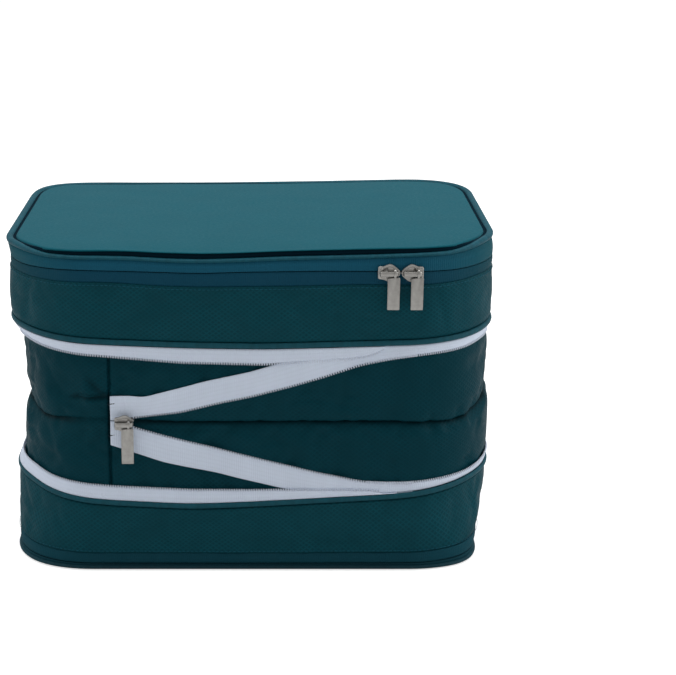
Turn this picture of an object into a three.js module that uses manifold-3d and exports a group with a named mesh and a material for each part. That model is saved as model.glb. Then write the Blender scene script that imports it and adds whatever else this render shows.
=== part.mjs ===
// Double-sided expandable packing cube, standing on its bottom lid.
// Millimetres, +Z up, front face towards -Y, origin at the centre of the underside.
import * as THREE from 'three';
import { mergeVertices } from 'three/addons/utils/BufferGeometryUtils.js';
import Module from 'manifold-3d';

const wasm = await Module();
wasm.setup();

// ---------------------------------------------------------------- dimensions
const WIDTH = 300;            // over the piping, left to right
const DEPTH = 220;            // over the piping, front to back
const HEIGHT = 199;           // expanded, lid face to lid face
const CORNER_R = 56;          // vertical corners, over the piping
const CORNER_STEPS = 4;       // half the facets of one corner
const CORNER_X = WIDTH / 2 - CORNER_R;   // centres of the corner arcs
const CORNER_Y = DEPTH / 2 - CORNER_R;

const TOP_ZIP_Z = HEIGHT - 9;
const BOTTOM_ZIP_Z = 6.5;     // lower than the top's drop: the weight above flattens this lid
const ZIP_HALF_SLIT = 0.8;    // from the zip line to either tape
const COIL_SPAN = [0.2, 1.7]; // coil edges, measured from the edge of the slit
const PIPING_H = 3.2;
const LOOP_TAPE_H = 9;        // compression tape between piping and teeth
const TEETH_H = 1.4;
const GAP = 0.4;              // between neighbouring pieces of a shell

// Inward offsets from the outline over the piping: outer face, inner face.
const INSET = {
  zipTape: [0.6, 1.5],
  zipCoil: [1.9, 3.2],
  wall: [1.0, 1.8],
  lining: [2.2, 2.7],
  piping: [0.0, 3.0],
  loopTape: [0.8, 1.6],
  teeth: [0.5, 1.8],
  leadTape: [2.2, 3.0],
  gusset: [3.5, 4.3],
  shellBinding: [4.8, 5.5],
  rimRoll: [1.9, 7.4],
  lidBinding: [5.9, 6.6],
};
const LID_INSET = { panel: 8.2, foam: 9.4, lining: 8.6 };
const RIM_ROUND = 1.1;        // edge rounding
const PIPING_ROUND = 0.9;

const COMPRESSION_Z = 96;     // level of the compression slider, crease and divider

// ---------------------------------------------------------------- finishes
const FINISH = {
  panel: { color: 0x2f6876, roughness: 0.78 },
  wall: { color: 0x15393f, roughness: 0.82 },
  rim: { color: 0x1c4c57, roughness: 0.8 },
  zipTape: { color: 0x174658, roughness: 0.85 },
  zipCoil: { color: 0x12303c, roughness: 0.55 },
  piping: { color: 0x1f4f56, roughness: 0.7 },
  lining: { color: 0x1b3f47, roughness: 0.85 },
  foam: { color: 0xb9bdc0, roughness: 0.95 },
  binding: { color: 0x12303a, roughness: 0.85 },
  loop: { color: 0xc6cad8, roughness: 0.8 },
  teeth: { color: 0xb6bac8, roughness: 0.5 },
  gusset: { color: 0x15414a, roughness: 0.75 },
  divider: { color: 0x1a4650, roughness: 0.85 },
  hinge: { color: 0x14363f, roughness: 0.85 },
  metal: { color: 0xa19f9b, roughness: 0.34, metalness: 1 },
};

const cube = new THREE.Group();
cube.name = 'packing_cube';

function add(name, geometry, finish) {
  const mesh = new THREE.Mesh(geometry, new THREE.MeshStandardMaterial(FINISH[finish]));
  mesh.name = name;
  cube.add(mesh);
}

// ---------------------------------------------------------------- levels
// [low, high] of a piece lying from `near` to `far` off a level, up (1) or down (-1).
function span(level, direction, near, far) {
  return direction > 0 ? [level + near, level + far] : [level - far, level - near];
}

// Stacks the pieces of one shell from its zip towards mid height.
function shellLevels({ zip, inward, tapeHeight, wallHeight }) {
  let start = ZIP_HALF_SLIT;
  const next = (height) => {
    const piece = span(zip, inward, start, start + height);
    start += height + GAP;
    return piece;
  };
  const tapeEnd = ZIP_HALF_SLIT + tapeHeight;
  return {
    zipTape: next(tapeHeight),
    wall: next(wallHeight),
    piping: next(PIPING_H),
    loopTape: next(LOOP_TAPE_H),
    teeth: next(TEETH_H),
    zipCoil: coilSpan(zip, inward),
    zipBinding: span(zip, inward, tapeEnd - 3, tapeEnd + 5),
  };
}

function coilSpan(zip, direction) {
  return span(zip, direction, ...COIL_SPAN.map((edge) => ZIP_HALF_SLIT + edge));
}

const lower = shellLevels({ zip: BOTTOM_ZIP_Z, inward: 1, tapeHeight: 6.6, wallHeight: 30.7 });
const upper = shellLevels({ zip: TOP_ZIP_Z, inward: -1, tapeHeight: 8.2, wallHeight: 31.4 });

// ---------------------------------------------------------------- cloth geometry
// Rounded rectangle, drawn in from the outline over the piping.
function outline(inset, Kind = THREE.Shape) {
  const x = CORNER_X;
  const y = CORNER_Y;
  const radius = CORNER_R - inset;
  const path = new Kind();
  path.moveTo(-x, -y - radius);
  path.lineTo(x, -y - radius);
  path.absarc(x, -y, radius, -Math.PI / 2, 0, false);
  path.lineTo(x + radius, y);
  path.absarc(x, y, radius, 0, Math.PI / 2, false);
  path.lineTo(-x, y + radius);
  path.absarc(-x, y, radius, Math.PI / 2, Math.PI, false);
  path.lineTo(-x - radius, -y);
  path.absarc(-x, -y, radius, Math.PI, 1.5 * Math.PI, false);
  return path;
}

function extrude(shape, [low, high], options = {}) {
  return new THREE.ExtrudeGeometry(shape, {
    depth: high - low, bevelEnabled: false, curveSegments: CORNER_STEPS, ...options,
  }).translate(0, 0, low);
}

// A flat piece filling the outline.
function sheet(inset, levels) {
  return extrude(outline(inset), levels);
}

// A band of cloth or tape that runs round the cube.
function band([outer, inner], levels, options) {
  const shape = outline(outer);
  shape.holes.push(outline(inner, THREE.Path));
  return extrude(shape, levels, options);
}

// A band with rounded edges, for piping and rolled rims.
function roundBand([outer, inner], [low, high], round) {
  return band([outer + round, inner - round], [low + round, high - round], {
    bevelEnabled: true, bevelThickness: round, bevelSize: round, bevelSegments: 1,
  });
}

// Moves a band's points out along the outline's normal by amount(z).
function bulge(geometry, amount) {
  const points = geometry.attributes.position;
  for (let i = 0; i < points.count; i++) {
    const x = points.getX(i);
    const y = points.getY(i);
    const dx = x - THREE.MathUtils.clamp(x, -CORNER_X, CORNER_X);
    const dy = y - THREE.MathUtils.clamp(y, -CORNER_Y, CORNER_Y);
    const scale = amount(points.getZ(i)) / Math.hypot(dx, dy);
    points.setXY(i, x + dx * scale, y + dy * scale);
  }
  return geometry;
}

function polygon(points) {
  return new THREE.Shape(points.map(([x, y]) => new THREE.Vector2(x, y)));
}

// Stands a drawing made in XY up into XZ, filling y from front to back.
function upright(shape, front, back) {
  return new THREE.ExtrudeGeometry(shape, { depth: back - front, bevelEnabled: false })
    .rotateX(Math.PI / 2)
    .translate(0, back, 0);
}

// ---------------------------------------------------------------- joining solids
function toManifold(geometry) {
  const bare = geometry.clone();
  bare.deleteAttribute('normal');
  bare.deleteAttribute('uv');
  const welded = mergeVertices(bare, 1e-4);
  return new wasm.Manifold(new wasm.Mesh({
    numProp: 3,
    vertProperties: new Float32Array(welded.attributes.position.array),
    triVerts: new Uint32Array(welded.index.array),
  }));
}

function toGeometry(solid) {
  const { vertProperties, triVerts, numProp } = solid.getMesh();
  const positions = [];
  for (let i = 0; i < vertProperties.length; i += numProp) {
    positions.push(...vertProperties.slice(i, i + 3));
  }
  const indexed = new THREE.BufferGeometry();
  indexed.setAttribute('position', new THREE.Float32BufferAttribute(positions, 3));
  indexed.setIndex([...triVerts]);
  const flat = indexed.toNonIndexed();
  flat.computeVertexNormals();
  return flat;
}

function union(geometries) {
  return toGeometry(geometries.map(toManifold).reduce((a, b) => a.add(b)));
}

function block([x0, x1], [y0, y1], [z0, z1]) {
  return new THREE.BoxGeometry(x1 - x0, y1 - y0, z1 - z0)
    .translate((x0 + x1) / 2, (y0 + y1) / 2, (z0 + z1) / 2);
}

// ---------------------------------------------------------------- lids
const HINGE_R = 0.8;
const HINGE_L = 150;

// Each [near, far] in `depths` is measured in from the lid's outer face.
function addLid(prefix, { face, zip, inward, tapeHeight, depths }) {
  const at = (depth) => span(face, inward, ...depth);
  const outward = -inward;
  const tape = span(zip, outward, ZIP_HALF_SLIT, ZIP_HALF_SLIT + tapeHeight);
  add(`${prefix}_panel`, sheet(LID_INSET.panel, at([0, 1])), 'panel');
  add(`${prefix}_panel_foam`, sheet(LID_INSET.foam, at(depths.foam)), 'foam');
  add(`${prefix}_panel_lining`, sheet(LID_INSET.lining, at(depths.lining)), 'lining');
  add(`${prefix}_rim_roll`, roundBand(INSET.rimRoll, at(depths.rim), RIM_ROUND), 'rim');
  add(`${prefix}_lid_zip_tape`, band(INSET.zipTape, tape), 'zipTape');
  add(`${prefix}_lid_zip_coil`, band(INSET.zipCoil, coilSpan(zip, outward)), 'zipCoil');
  add(`${prefix}_lid_seam_binding`, band(INSET.lidBinding, at(depths.binding)), 'binding');
  add(`${prefix}_hinge_fold`, hingeFold(zip), 'hinge');
}

// Cloth hinge, folded along its own centre line at the back.
function hingeFold(zip) {
  return new THREE.CylinderGeometry(HINGE_R, HINGE_R, HINGE_L, 12)
    .rotateZ(Math.PI / 2)
    .translate(0, DEPTH / 2 + HINGE_R, zip);
}

addLid('bottom', {
  face: 0,
  zip: BOTTOM_ZIP_Z,
  inward: 1,
  tapeHeight: 2.6,
  depths: { foam: [1.4, 3.6], lining: [4.0, 4.5], rim: [0.4, 2.9], binding: [3.3, 5.3] },
});
addLid('top', {
  face: HEIGHT,
  zip: TOP_ZIP_Z,
  inward: -1,
  tapeHeight: 5.4,
  depths: { foam: [1.4, 5.2], lining: [5.6, 6.2], rim: [0.5, 4.4], binding: [4.8, 7.8] },
});

// ---------------------------------------------------------------- shells
const SEAM_BINDING_REACH = 4; // above and below the piping

function addShell(prefix, levels) {
  const [pipingLow, pipingHigh] = levels.piping;
  const seam = [pipingLow - SEAM_BINDING_REACH, pipingHigh + SEAM_BINDING_REACH];
  add(`${prefix}_zip_tape`, band(INSET.zipTape, levels.zipTape), 'zipTape');
  add(`${prefix}_zip_coil`, band(INSET.zipCoil, levels.zipCoil), 'zipCoil');
  add(`${prefix}_wall`, band(INSET.wall, levels.wall), 'wall');
  add(`${prefix}_wall_lining`, band(INSET.lining, levels.wall), 'lining');
  add(`${prefix}_zip_binding`, band(INSET.shellBinding, levels.zipBinding), 'binding');
  add(`${prefix}_piping`, roundBand(INSET.piping, levels.piping, PIPING_ROUND), 'piping');
  add(`${prefix}_compression_tape`, band(INSET.loopTape, levels.loopTape), 'loop');
  add(`${prefix}_compression_teeth`, band(INSET.teeth, levels.teeth), 'teeth');
  add(`${prefix}_seam_binding`, band(INSET.shellBinding, seam), 'binding');
}

addShell('lower', lower);
addShell('upper', upper);

// ---------------------------------------------------------------- bellows
const PINCH = 6.4;            // how far the crease is drawn in
const CREASE_SPREAD = 9;      // distance above or below at which the pinch falls to 1/e
const BELLOWS_LOW = lower.loopTape[0];
const BELLOWS_HIGH = upper.loopTape[1];

// Two lobes with a crease at mid height.
function gusset() {
  const crease = (z) => -PINCH * Math.exp(-(((z - COMPRESSION_Z) / CREASE_SPREAD) ** 2));
  return bulge(band(INSET.gusset, [BELLOWS_LOW, BELLOWS_HIGH], { steps: 8 }), crease);
}

add('gusset', gusset(), 'gusset');

// ---------------------------------------------------------------- lead tapes
// They spread from the compression slider to the two loop tapes.
const LEAD_LEFT = -84;
const LEAD_RIGHT = 82;

// Outlines as x, z: the upper tape's lower edge first, then back along its upper edge.
const UPPER_LEAD = [
  [LEAD_LEFT, COMPRESSION_Z + 1], [-70, COMPRESSION_Z + 1.5], [-42, 101.2], [-18, 107.6],
  [0, 111.4], [25, 118], [42, 123.2], [66, 131.5], [LEAD_RIGHT, 134],
  [LEAD_RIGHT, BELLOWS_HIGH], [50, BELLOWS_HIGH], [10, 130.6], [-14, 124.1], [-42, 117],
  [-57, 113.7], [LEAD_LEFT, 111],
];
// Likewise for the lower tape.
const LOWER_LEAD = [
  [LEAD_LEFT, 80.1], [-70, 75.7], [-52, 69.6], [-18, 62.3], [25, 51.4], [34, BELLOWS_LOW],
  [LEAD_RIGHT, BELLOWS_LOW],
  [LEAD_RIGHT, 56.8], [72, 57.4], [42, 63.3], [-18, 78.6], [-52, 88.4],
  [-70, COMPRESSION_Z - 1.5], [LEAD_LEFT, COMPRESSION_Z - 1],
];

function leadTape(points) {
  const [front, back] = INSET.leadTape.map((inset) => -DEPTH / 2 + inset);
  return upright(polygon(points), front, back);
}

add('upper_lead_tape', leadTape(UPPER_LEAD), 'loop');
add('lower_lead_tape', leadTape(LOWER_LEAD), 'loop');

// ---------------------------------------------------------------- divider
const CREASE_INSET = INSET.gusset[1] + PINCH;   // inner face of the gusset at the crease
const DIVIDER_INSET = CREASE_INSET + 2.6;
const DIVIDER_BINDING = [CREASE_INSET + 0.6, CREASE_INSET + 2.2];

const aboutDivider = (half) => [COMPRESSION_Z - half, COMPRESSION_Z + half];
add('divider_panel', sheet(DIVIDER_INSET, aboutDivider(0.5)), 'divider');
add('divider_edge_binding', band(DIVIDER_BINDING, aboutDivider(1)), 'binding');

// ---------------------------------------------------------------- sliders and pulls
// Slider frame: travel along X with the nose towards +X, zip line at z = 0, front
// outline of the cube at y = 0.
const SLIDER_NOSE = 13.5 / 2; // half the slider's length along the zip
const WING_HALF = 5.3;        // half heights of the plates
const TAIL_HALF = 3.9;
const NOSE_HALF = 3.2;
const FRONT_PLATE_Y = [-1.3, -0.2];
const BACK_PLATE_Y = [4.4, 5.4];
const BACK_PLATE_SCALE = 0.64; // its half heights against the front plate's

const BAR_Y = -3.9;           // centre of the bridge bar, outside the outline
const BAR_HALF = 0.6;         // half the bar's thickness
const LEG_Y = [BAR_Y - BAR_HALF, -0.8];
const LEG_Z = [-0.8, 0.8];

// Plates lie either side of the tapes, joined by a thin post in the slit, with the
// bridge for the pull in front.
function sliderGeometry() {
  return union([
    upright(sliderPlate(1), ...FRONT_PLATE_Y),
    upright(sliderPlate(BACK_PLATE_SCALE), ...BACK_PLATE_Y),
    block([1.2, 4.4], [-0.8, 4.9], [-0.42, 0.42]),
    block([-5.6, -4.0], LEG_Y, LEG_Z),
    block([3.9, 5.5], LEG_Y, LEG_Z),
    block([-5, 5], [BAR_Y - BAR_HALF, BAR_Y + BAR_HALF], [-BAR_HALF, BAR_HALF]),
  ]);
}

function sliderPlate(scale) {
  // x and half height, from tail to nose
  const edge = [
    [-SLIDER_NOSE, TAIL_HALF], [-1.2, TAIL_HALF], [1.6, WING_HALF], [4.6, WING_HALF],
    [SLIDER_NOSE, NOSE_HALF],
  ];
  const side = (sign) => edge.map(([x, half]) => [x, sign * half * scale]);
  return polygon([...side(-1), ...side(1).reverse()]);
}

const TAB_HALF_W = 7.7 / 2;
const TAB_END = 21.6;         // far end of the tab from the zip line
const TAB_CHAMFER = 0.8;
const TAB_T = 1;
const NECK_HALF_W = 1.6;      // half the width of the neck and of the eye
const PULL_SHIFT = 0.6;       // pull off the slider's centre, along the zip
const EYE_R = 1.9;
const EYE_HOLE_R = 1.2;

// An eye round the bridge bar and a flat tab; reach = -1 hangs, 1 stands up.
function pullGeometry(reach) {
  return union([pullTab(reach), pullEye()]);
}

function pullTab(reach) {
  const points = [
    [-NECK_HALF_W, 1.5], [NECK_HALF_W, 1.5], [NECK_HALF_W, 3.4],
    [TAB_HALF_W, 4.2], [TAB_HALF_W, TAB_END - TAB_CHAMFER],
    [TAB_HALF_W - TAB_CHAMFER, TAB_END], [-TAB_HALF_W + TAB_CHAMFER, TAB_END],
    [-TAB_HALF_W, TAB_END - TAB_CHAMFER], [-TAB_HALF_W, 4.2], [-NECK_HALF_W, 3.4],
  ].map(([x, y]) => [x + PULL_SHIFT, y * reach]);
  // a hanging tab is mirrored, so its points are put back in anticlockwise order
  const shape = polygon(reach < 0 ? points.reverse() : points);
  return upright(shape, BAR_Y - TAB_T / 2, BAR_Y + TAB_T / 2);
}

function pullEye() {
  const ring = new THREE.Shape();
  ring.absarc(0, 0, EYE_R, 0, 2 * Math.PI, false);
  const hole = new THREE.Path();
  hole.absarc(0, 0, EYE_HOLE_R, 0, 2 * Math.PI, false);
  ring.holes.push(hole);
  const options = { depth: 2 * NECK_HALF_W, bevelEnabled: false, curveSegments: 6 };
  return new THREE.ExtrudeGeometry(ring, options)
    .rotateY(Math.PI / 2)
    .translate(PULL_SHIFT - NECK_HALF_W, BAR_Y, 0);
}

// Matrices that carry the slider frame to the front and to the right side.
function onFront(x, z) {
  return new THREE.Matrix4().makeTranslation(x, -DEPTH / 2, z);
}

function onRight(y, z) {
  return new THREE.Matrix4().makeTranslation(WIDTH / 2, y, z)
    .multiply(new THREE.Matrix4().makeRotationZ(Math.PI / 2));
}

// Turns a placement at the start of a right-hand corner until it lies `travel` round it.
function aroundCorner(placement, cornerY, travel) {
  return new THREE.Matrix4().makeTranslation(CORNER_X, cornerY, 0)
    .multiply(new THREE.Matrix4().makeRotationZ(travel / CORNER_R))
    .multiply(new THREE.Matrix4().makeTranslation(-CORNER_X, -cornerY, 0))
    .multiply(placement);
}

// A reversed slider is turned end for end; its pull is not.
function addSlider(prefix, placement, { reach, reversed = false }) {
  const slider = sliderGeometry();
  if (reversed) slider.rotateY(Math.PI);
  add(`${prefix}_slider`, slider.applyMatrix4(placement), 'metal');
  add(`${prefix}_pull`, pullGeometry(reach).applyMatrix4(placement), 'metal');
}

const COMPRESSION_X = -76;
const TOP_LEFT_X = 82;
const BOTTOM_FRONT_Y = 43;
const SLIDER_PITCH = 14.4;    // between two sliders set nose to nose

addSlider('compression', onFront(COMPRESSION_X, COMPRESSION_Z), { reach: -1 });

// top sliders, at the front; the right one has just started round the corner
const topRight = aroundCorner(
  onFront(CORNER_X, TOP_ZIP_Z), -CORNER_Y, TOP_LEFT_X + SLIDER_PITCH - CORNER_X,
);
addSlider('top_left', onFront(TOP_LEFT_X, TOP_ZIP_Z), { reach: -1 });
addSlider('top_right', topRight, { reach: -1, reversed: true });

// bottom sliders, on the right side, pulls turned up clear of the floor
const bottomRear = aroundCorner(
  onRight(CORNER_Y, BOTTOM_ZIP_Z), CORNER_Y, BOTTOM_FRONT_Y + SLIDER_PITCH - CORNER_Y,
);
addSlider('bottom_front', onRight(BOTTOM_FRONT_Y, BOTTOM_ZIP_Z), { reach: 1 });
addSlider('bottom_rear', bottomRear, { reach: 1, reversed: true });

export default cube;
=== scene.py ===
# A zipped fabric cube with rounded upright corners: a padded lid above and below, two cloth
# shells, and between them a bellows partly covered by a white compression zip.
# X points right, the front faces -Y, Z is up and the bottom rests at z = 0.
# Sizes are in mm until a mesh or an object is made.
# Most shapes are given by three numbers: arc, the distance round the cube from the front
# centre (positive to the right); inset, how far inside the nominal outline; and z.
import math

import bmesh
import bpy
import numpy as np
from mathutils import Matrix, Vector


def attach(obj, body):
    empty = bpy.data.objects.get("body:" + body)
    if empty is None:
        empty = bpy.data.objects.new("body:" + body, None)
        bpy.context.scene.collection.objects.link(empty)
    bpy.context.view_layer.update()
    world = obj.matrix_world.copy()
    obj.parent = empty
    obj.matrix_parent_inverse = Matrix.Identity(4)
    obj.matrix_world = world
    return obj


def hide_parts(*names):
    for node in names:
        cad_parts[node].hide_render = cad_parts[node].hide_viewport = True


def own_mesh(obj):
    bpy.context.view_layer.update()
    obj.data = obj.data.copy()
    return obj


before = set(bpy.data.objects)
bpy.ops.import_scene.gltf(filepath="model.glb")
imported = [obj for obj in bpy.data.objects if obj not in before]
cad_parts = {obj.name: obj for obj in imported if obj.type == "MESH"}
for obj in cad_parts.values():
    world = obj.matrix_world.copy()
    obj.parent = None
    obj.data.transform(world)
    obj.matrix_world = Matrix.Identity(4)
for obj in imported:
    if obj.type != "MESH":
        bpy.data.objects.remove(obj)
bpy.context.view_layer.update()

MM = 0.001
UV_UNIT = 100.0  # mm per unit of UV

# ------------------------------------------------------------------ outline
HALF_X, HALF_Y, CORNER_R = 94.0, 54.0, 56.0  # corner centres and corner radius
CORNER_ARC = CORNER_R * math.pi / 2
GIRTH = 4 * HALF_X + 4 * HALF_Y + 4 * CORNER_ARC
FRONT_Y = -(HALF_Y + CORNER_R)
TOP_ZIP, BOTTOM_ZIP, MID = 190.0, 6.5, 96.0

# The outline in nine pieces, from the front centre round to it again.
KNOTS = [0.0]
for piece_length in (HALF_X, CORNER_ARC, 2 * HALF_Y, CORNER_ARC, 2 * HALF_X, CORNER_ARC,
                     2 * HALF_Y, CORNER_ARC, HALF_X):
    KNOTS.append(KNOTS[-1] + piece_length)
# piece: centre x and y, start angle, superellipse power (None: round)
CORNERS = {
    1: (HALF_X, -HALF_Y, -math.pi / 2, None), 3: (HALF_X, HALF_Y, 0.0, 2.4),
    5: (-HALF_X, HALF_Y, math.pi / 2, 3.2), 7: (-HALF_X, -HALF_Y, math.pi, None),
}
# piece: start, direction, outward normal
FLATS = {
    0: ((0, -HALF_Y), (1, 0), (0, -1)), 2: ((HALF_X, -HALF_Y), (0, 1), (1, 0)),
    4: ((HALF_X, HALF_Y), (-1, 0), (0, 1)), 6: ((-HALF_X, HALF_Y), (0, -1), (-1, 0)),
    8: ((-HALF_X, -HALF_Y), (1, 0), (0, -1)),
}
# How far the ends are drawn in (+) or swell (-): height, inset
LEFT_SHIFT = np.array([
    (0, 3.7), (6, 3.7), (14, 3.0), (25, 2.5), (40, 3.0), (55, 3.3), (75, 2.6), (97, 2.2),
    (140, 2.2), (155, 1.9), (170, 1.9), (186, 2.4), (190, 2.2), (193, 1.2), (195, 0)])
RIGHT_SHIFT = np.array([
    (0, 6.6), (6, 6.2), (12, 4.6), (18, 2.9), (25, 1.6), (34, 0.2), (45, -0.7), (60, -1.7),
    (140, -1.7), (150, -0.4), (160, 0)])


def clip01(x):
    return np.clip(x, 0, 1)


def smoothstep(x):
    x = clip01(x)
    return x * x * (3 - 2 * x)


def bell(x, width, power=2):
    """1 at x = 0, falling to 1/e at width."""
    return np.exp(-((x / width) ** power))


def gauss_kernel(reach, width):
    weights = np.exp(-0.5 * (np.arange(-reach, reach + 1) / width) ** 2)
    return weights / weights.sum()


def wrap(arc):
    """Arc length brought to within half a girth of the front centre."""
    return np.mod(np.asarray(arc, float) + GIRTH / 2, GIRTH) - GIRTH / 2


def squaring(normals, power):
    """Share of the radius by which a superellipse stands outside a circle."""
    cosine, sine = (np.maximum(np.abs(normals[..., i]), 1e-9) for i in (0, 1))
    return (cosine**power + sine**power) ** (-1 / power) - 1


def path(arc):
    """Skeleton points and outward normals at these arc lengths, each (..., 2)."""
    around = np.mod(np.asarray(arc, float), GIRTH)
    points = np.zeros(around.shape + (2,))
    normals = np.zeros(around.shape + (2,))
    for i in range(9):
        mask = (around >= KNOTS[i]) & ((around < KNOTS[i + 1]) | (i == 8))
        run = around[mask] - KNOTS[i]
        if i in CORNERS:
            x, y, start, power = CORNERS[i]
            angle = start + run / CORNER_R
            normals[mask] = np.stack([np.cos(angle), np.sin(angle)], -1)
            points[mask] = (x, y)
            if power:  # the back corners are a little squarer
                extra = CORNER_R * squaring(normals[mask], power)
                points[mask] += normals[mask] * extra[:, None]
        else:
            start, direction, normal = FLATS[i]
            points[mask] = np.array(start) + run[:, None] * np.array(direction)
            normals[mask] = normal
    return points, normals


def side_shift(arc, z):
    """How far the filled cube is drawn in (+) or swells (-) at its ends."""
    arc = wrap(arc)
    left = smoothstep((-arc - 95) / 55) * smoothstep((arc + 380) / 90)
    right = smoothstep((arc - 100) / 50) * smoothstep((390 - arc) / 80)
    corner = 0.38 + 0.62 * smoothstep((250 - arc) / 60)
    in_left = np.interp(z, *LEFT_SHIFT.T)
    in_right = np.interp(z, *RIGHT_SHIFT.T)
    return left * in_left + right * np.where(in_right > 0, in_right * corner, in_right)


def on_path(arc, inset, z):
    """Points (..., 3) in mm; the three arguments broadcast together."""
    arc, inset, z = np.broadcast_arrays(*(np.asarray(a, float) for a in (arc, inset, z)))
    points, normals = path(arc)
    # the loaded bottom spreads at the front corners, more at the right
    spread_height = 34
    low = clip01((spread_height - z) / spread_height)
    power = 2.0 + np.where(normals[..., 0] > 0, 1.7, 0.7) * low
    inset = inset + side_shift(arc, z)
    # and the front edge rolls forward over the floor
    roll_reach, roll_height = 1.8, 16
    facing = clip01(-normals[..., 1])
    inset = inset - roll_reach * facing**2 * clip01((roll_height - z) / roll_height)
    square = squaring(normals, power) * clip01(-normals[..., 1] * 4)
    flat = points + normals * (CORNER_R - inset + CORNER_R * square)[..., None]
    return np.concatenate([flat, z[..., None]], -1)


def outward(arc):
    """Outward normals as (n, 3)."""
    normals = path(arc)[1]
    return np.concatenate([normals, np.zeros((len(normals), 1))], 1)


TABLE_ARC = np.arange(-GIRTH / 2, GIRTH / 2, 1.0)


def table(points, smooth=7.0):
    """A smooth periodic function of arc through roughly these (arc, value) points."""
    points = np.array(points, float)
    points = points[np.argsort(points[:, 0])]
    arcs = np.concatenate([points[:, 0] - GIRTH, points[:, 0], points[:, 0] + GIRTH])
    line = np.interp(TABLE_ARC, arcs, np.tile(points[:, 1], 3))
    line = np.concatenate([line[-40:], line, line[:40]])
    line = np.convolve(line, gauss_kernel(40, smooth), "valid")
    return lambda arc: np.interp(wrap(arc), TABLE_ARC, line, period=GIRTH)


def stations(step):
    """Evenly spaced arc lengths round the whole cube."""
    count = int(round(GIRTH / step))
    return -GIRTH / 2 + GIRTH * np.arange(count) / count


AROUND = stations(2.0)
PAD_ARC = stations(3.0)
WALL_ARC = stations(1.8)
CLOTH_ARC = stations(4.2)  # for simulated cloth

# ------------------------------------------------------------------ noise
random = np.random.RandomState(7)
PERMUTATION = np.tile(random.permutation(256), 3)
GRADIENTS = random.normal(size=(256, 3))
GRADIENTS /= np.linalg.norm(GRADIENTS, axis=1)[:, None]


def noise(points):
    """Gradient noise of (..., 3) points, about -0.7 to 0.7."""
    points = np.asarray(points, float)
    shape = points.shape[:-1]
    points = points.reshape(-1, 3)
    cell = np.floor(points).astype(int)
    part = points - cell
    ease = part * part * part * (part * (part * 6 - 15) + 10)
    cell &= 255
    total = np.zeros(len(points))
    for corner in np.ndindex(2, 2, 2):
        index = 0
        for axis in range(3):
            index = PERMUTATION[index + cell[:, axis] + corner[axis]]
        slope = (GRADIENTS[index] * (part - corner)).sum(1)
        share = np.where(corner, ease, 1 - ease)
        total += slope * share[:, 0] * share[:, 1] * share[:, 2]
    return total.reshape(shape)


def noise_at(x, y, z):
    return noise(np.stack(np.broadcast_arrays(x, y, z), -1))


def fbm(points, scale, octaves=3, seed=0.0, stretch=(1, 1, 1)):
    points = np.asarray(points, float) / np.array(stretch) / scale + seed * 17.31
    total, strength = 0, 1.0
    for _ in range(octaves):
        total = total + strength * noise(points)
        points = points * 2.03 + 5.7
        strength *= 0.5
    return total


def folds(points, scale, seed, stretch, sharp):
    """Ridged noise, 0 to 1, with creases along its zero lines."""
    return (1 - clip01(np.abs(fbm(points, scale, 2, seed, stretch)) * 3.2)) ** sharp


def wander(scale, seed, z=0.0):
    """Slow noise along AROUND."""
    return fbm(on_path(AROUND, 0.0, z), scale, 2, seed)


# ------------------------------------------------------------------ meshes
def new_object(name, verts, faces, uv=None, mat=None, smooth=True):
    """verts in mm; faces is a list of index tuples; uv is a list of per-loop pairs in mm."""
    mesh = bpy.data.meshes.new(name)
    mesh.from_pydata((np.asarray(verts, float) * MM).tolist(), [], [tuple(f) for f in faces])
    if uv is not None:
        layer = mesh.uv_layers.new(name="UVMap")
        layer.data.foreach_set("uv", np.asarray(uv, float).ravel() / UV_UNIT)
    if smooth:
        mesh.polygons.foreach_set("use_smooth", [True] * len(mesh.polygons))
    mesh.update()
    ob = bpy.data.objects.new(name, mesh)
    bpy.context.scene.collection.objects.link(ob)
    if mat:
        mesh.materials.append(mat)
    return ob


def grid_faces(count, rows, closed, closed_rows):
    """Quads of a (count, rows) grid, with the column and row of each of their corners."""
    col, row = np.meshgrid(np.arange(count if closed else count - 1),
                           np.arange(rows if closed_rows else rows - 1), indexing="ij")
    col2, row2 = (col + 1) % count, (row + 1) % rows
    faces = np.stack([col * rows + row, col2 * rows + row, col2 * rows + row2,
                      col * rows + row2], -1).reshape(-1, 4)
    cols = np.stack([col, col + 1, col + 1, col], -1).reshape(-1, 4)
    return faces, cols, np.stack([row, row, row + 1, row + 1], -1).reshape(-1, 4)


def ring(name, arc, inset, z, mat, closed=True, row_v=None):
    """Sweeps a closed profile along arc. inset and z are (len(arc), rows); the outer side
    of the profile runs upwards. row_v gives the UV height of each row."""
    count, rows = inset.shape
    faces, cols, face_rows = grid_faces(count, rows, closed, True)
    arc_u = np.append(arc, arc[0] + GIRTH)
    if row_v is None:
        gaps = np.hypot(np.diff(inset, axis=1, append=inset[:, :1]),
                        np.diff(z, axis=1, append=z[:, :1])).mean(0)
        row_v = np.concatenate([[0], np.cumsum(gaps)])
    uv = np.stack([arc_u[cols], row_v[face_rows]], -1).reshape(-1, 2).tolist()
    faces = faces.tolist()
    if not closed:  # flat ends
        back = range(rows - 1, -1, -1)
        faces += [range(rows), [(count - 1) * rows + k for k in back]]
        uv += [[arc[0], row_v[k]] for k in range(rows)] + [[arc[-1], row_v[k]] for k in back]
    points = on_path(arc[:, None], inset, z)
    return new_object(name, points.reshape(-1, 3), faces, uv, mat)


def slab_profile(inset, z, thick, inner_rows):
    """Closes an outer surface into a thin solid, its inner face with its own row count."""
    rows = np.linspace(z.shape[1] - 1, 0, inner_rows).round().astype(int)
    return (np.concatenate([inset, inset[:, rows] + thick], 1),
            np.concatenate([z, z[:, rows]], 1))


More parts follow.
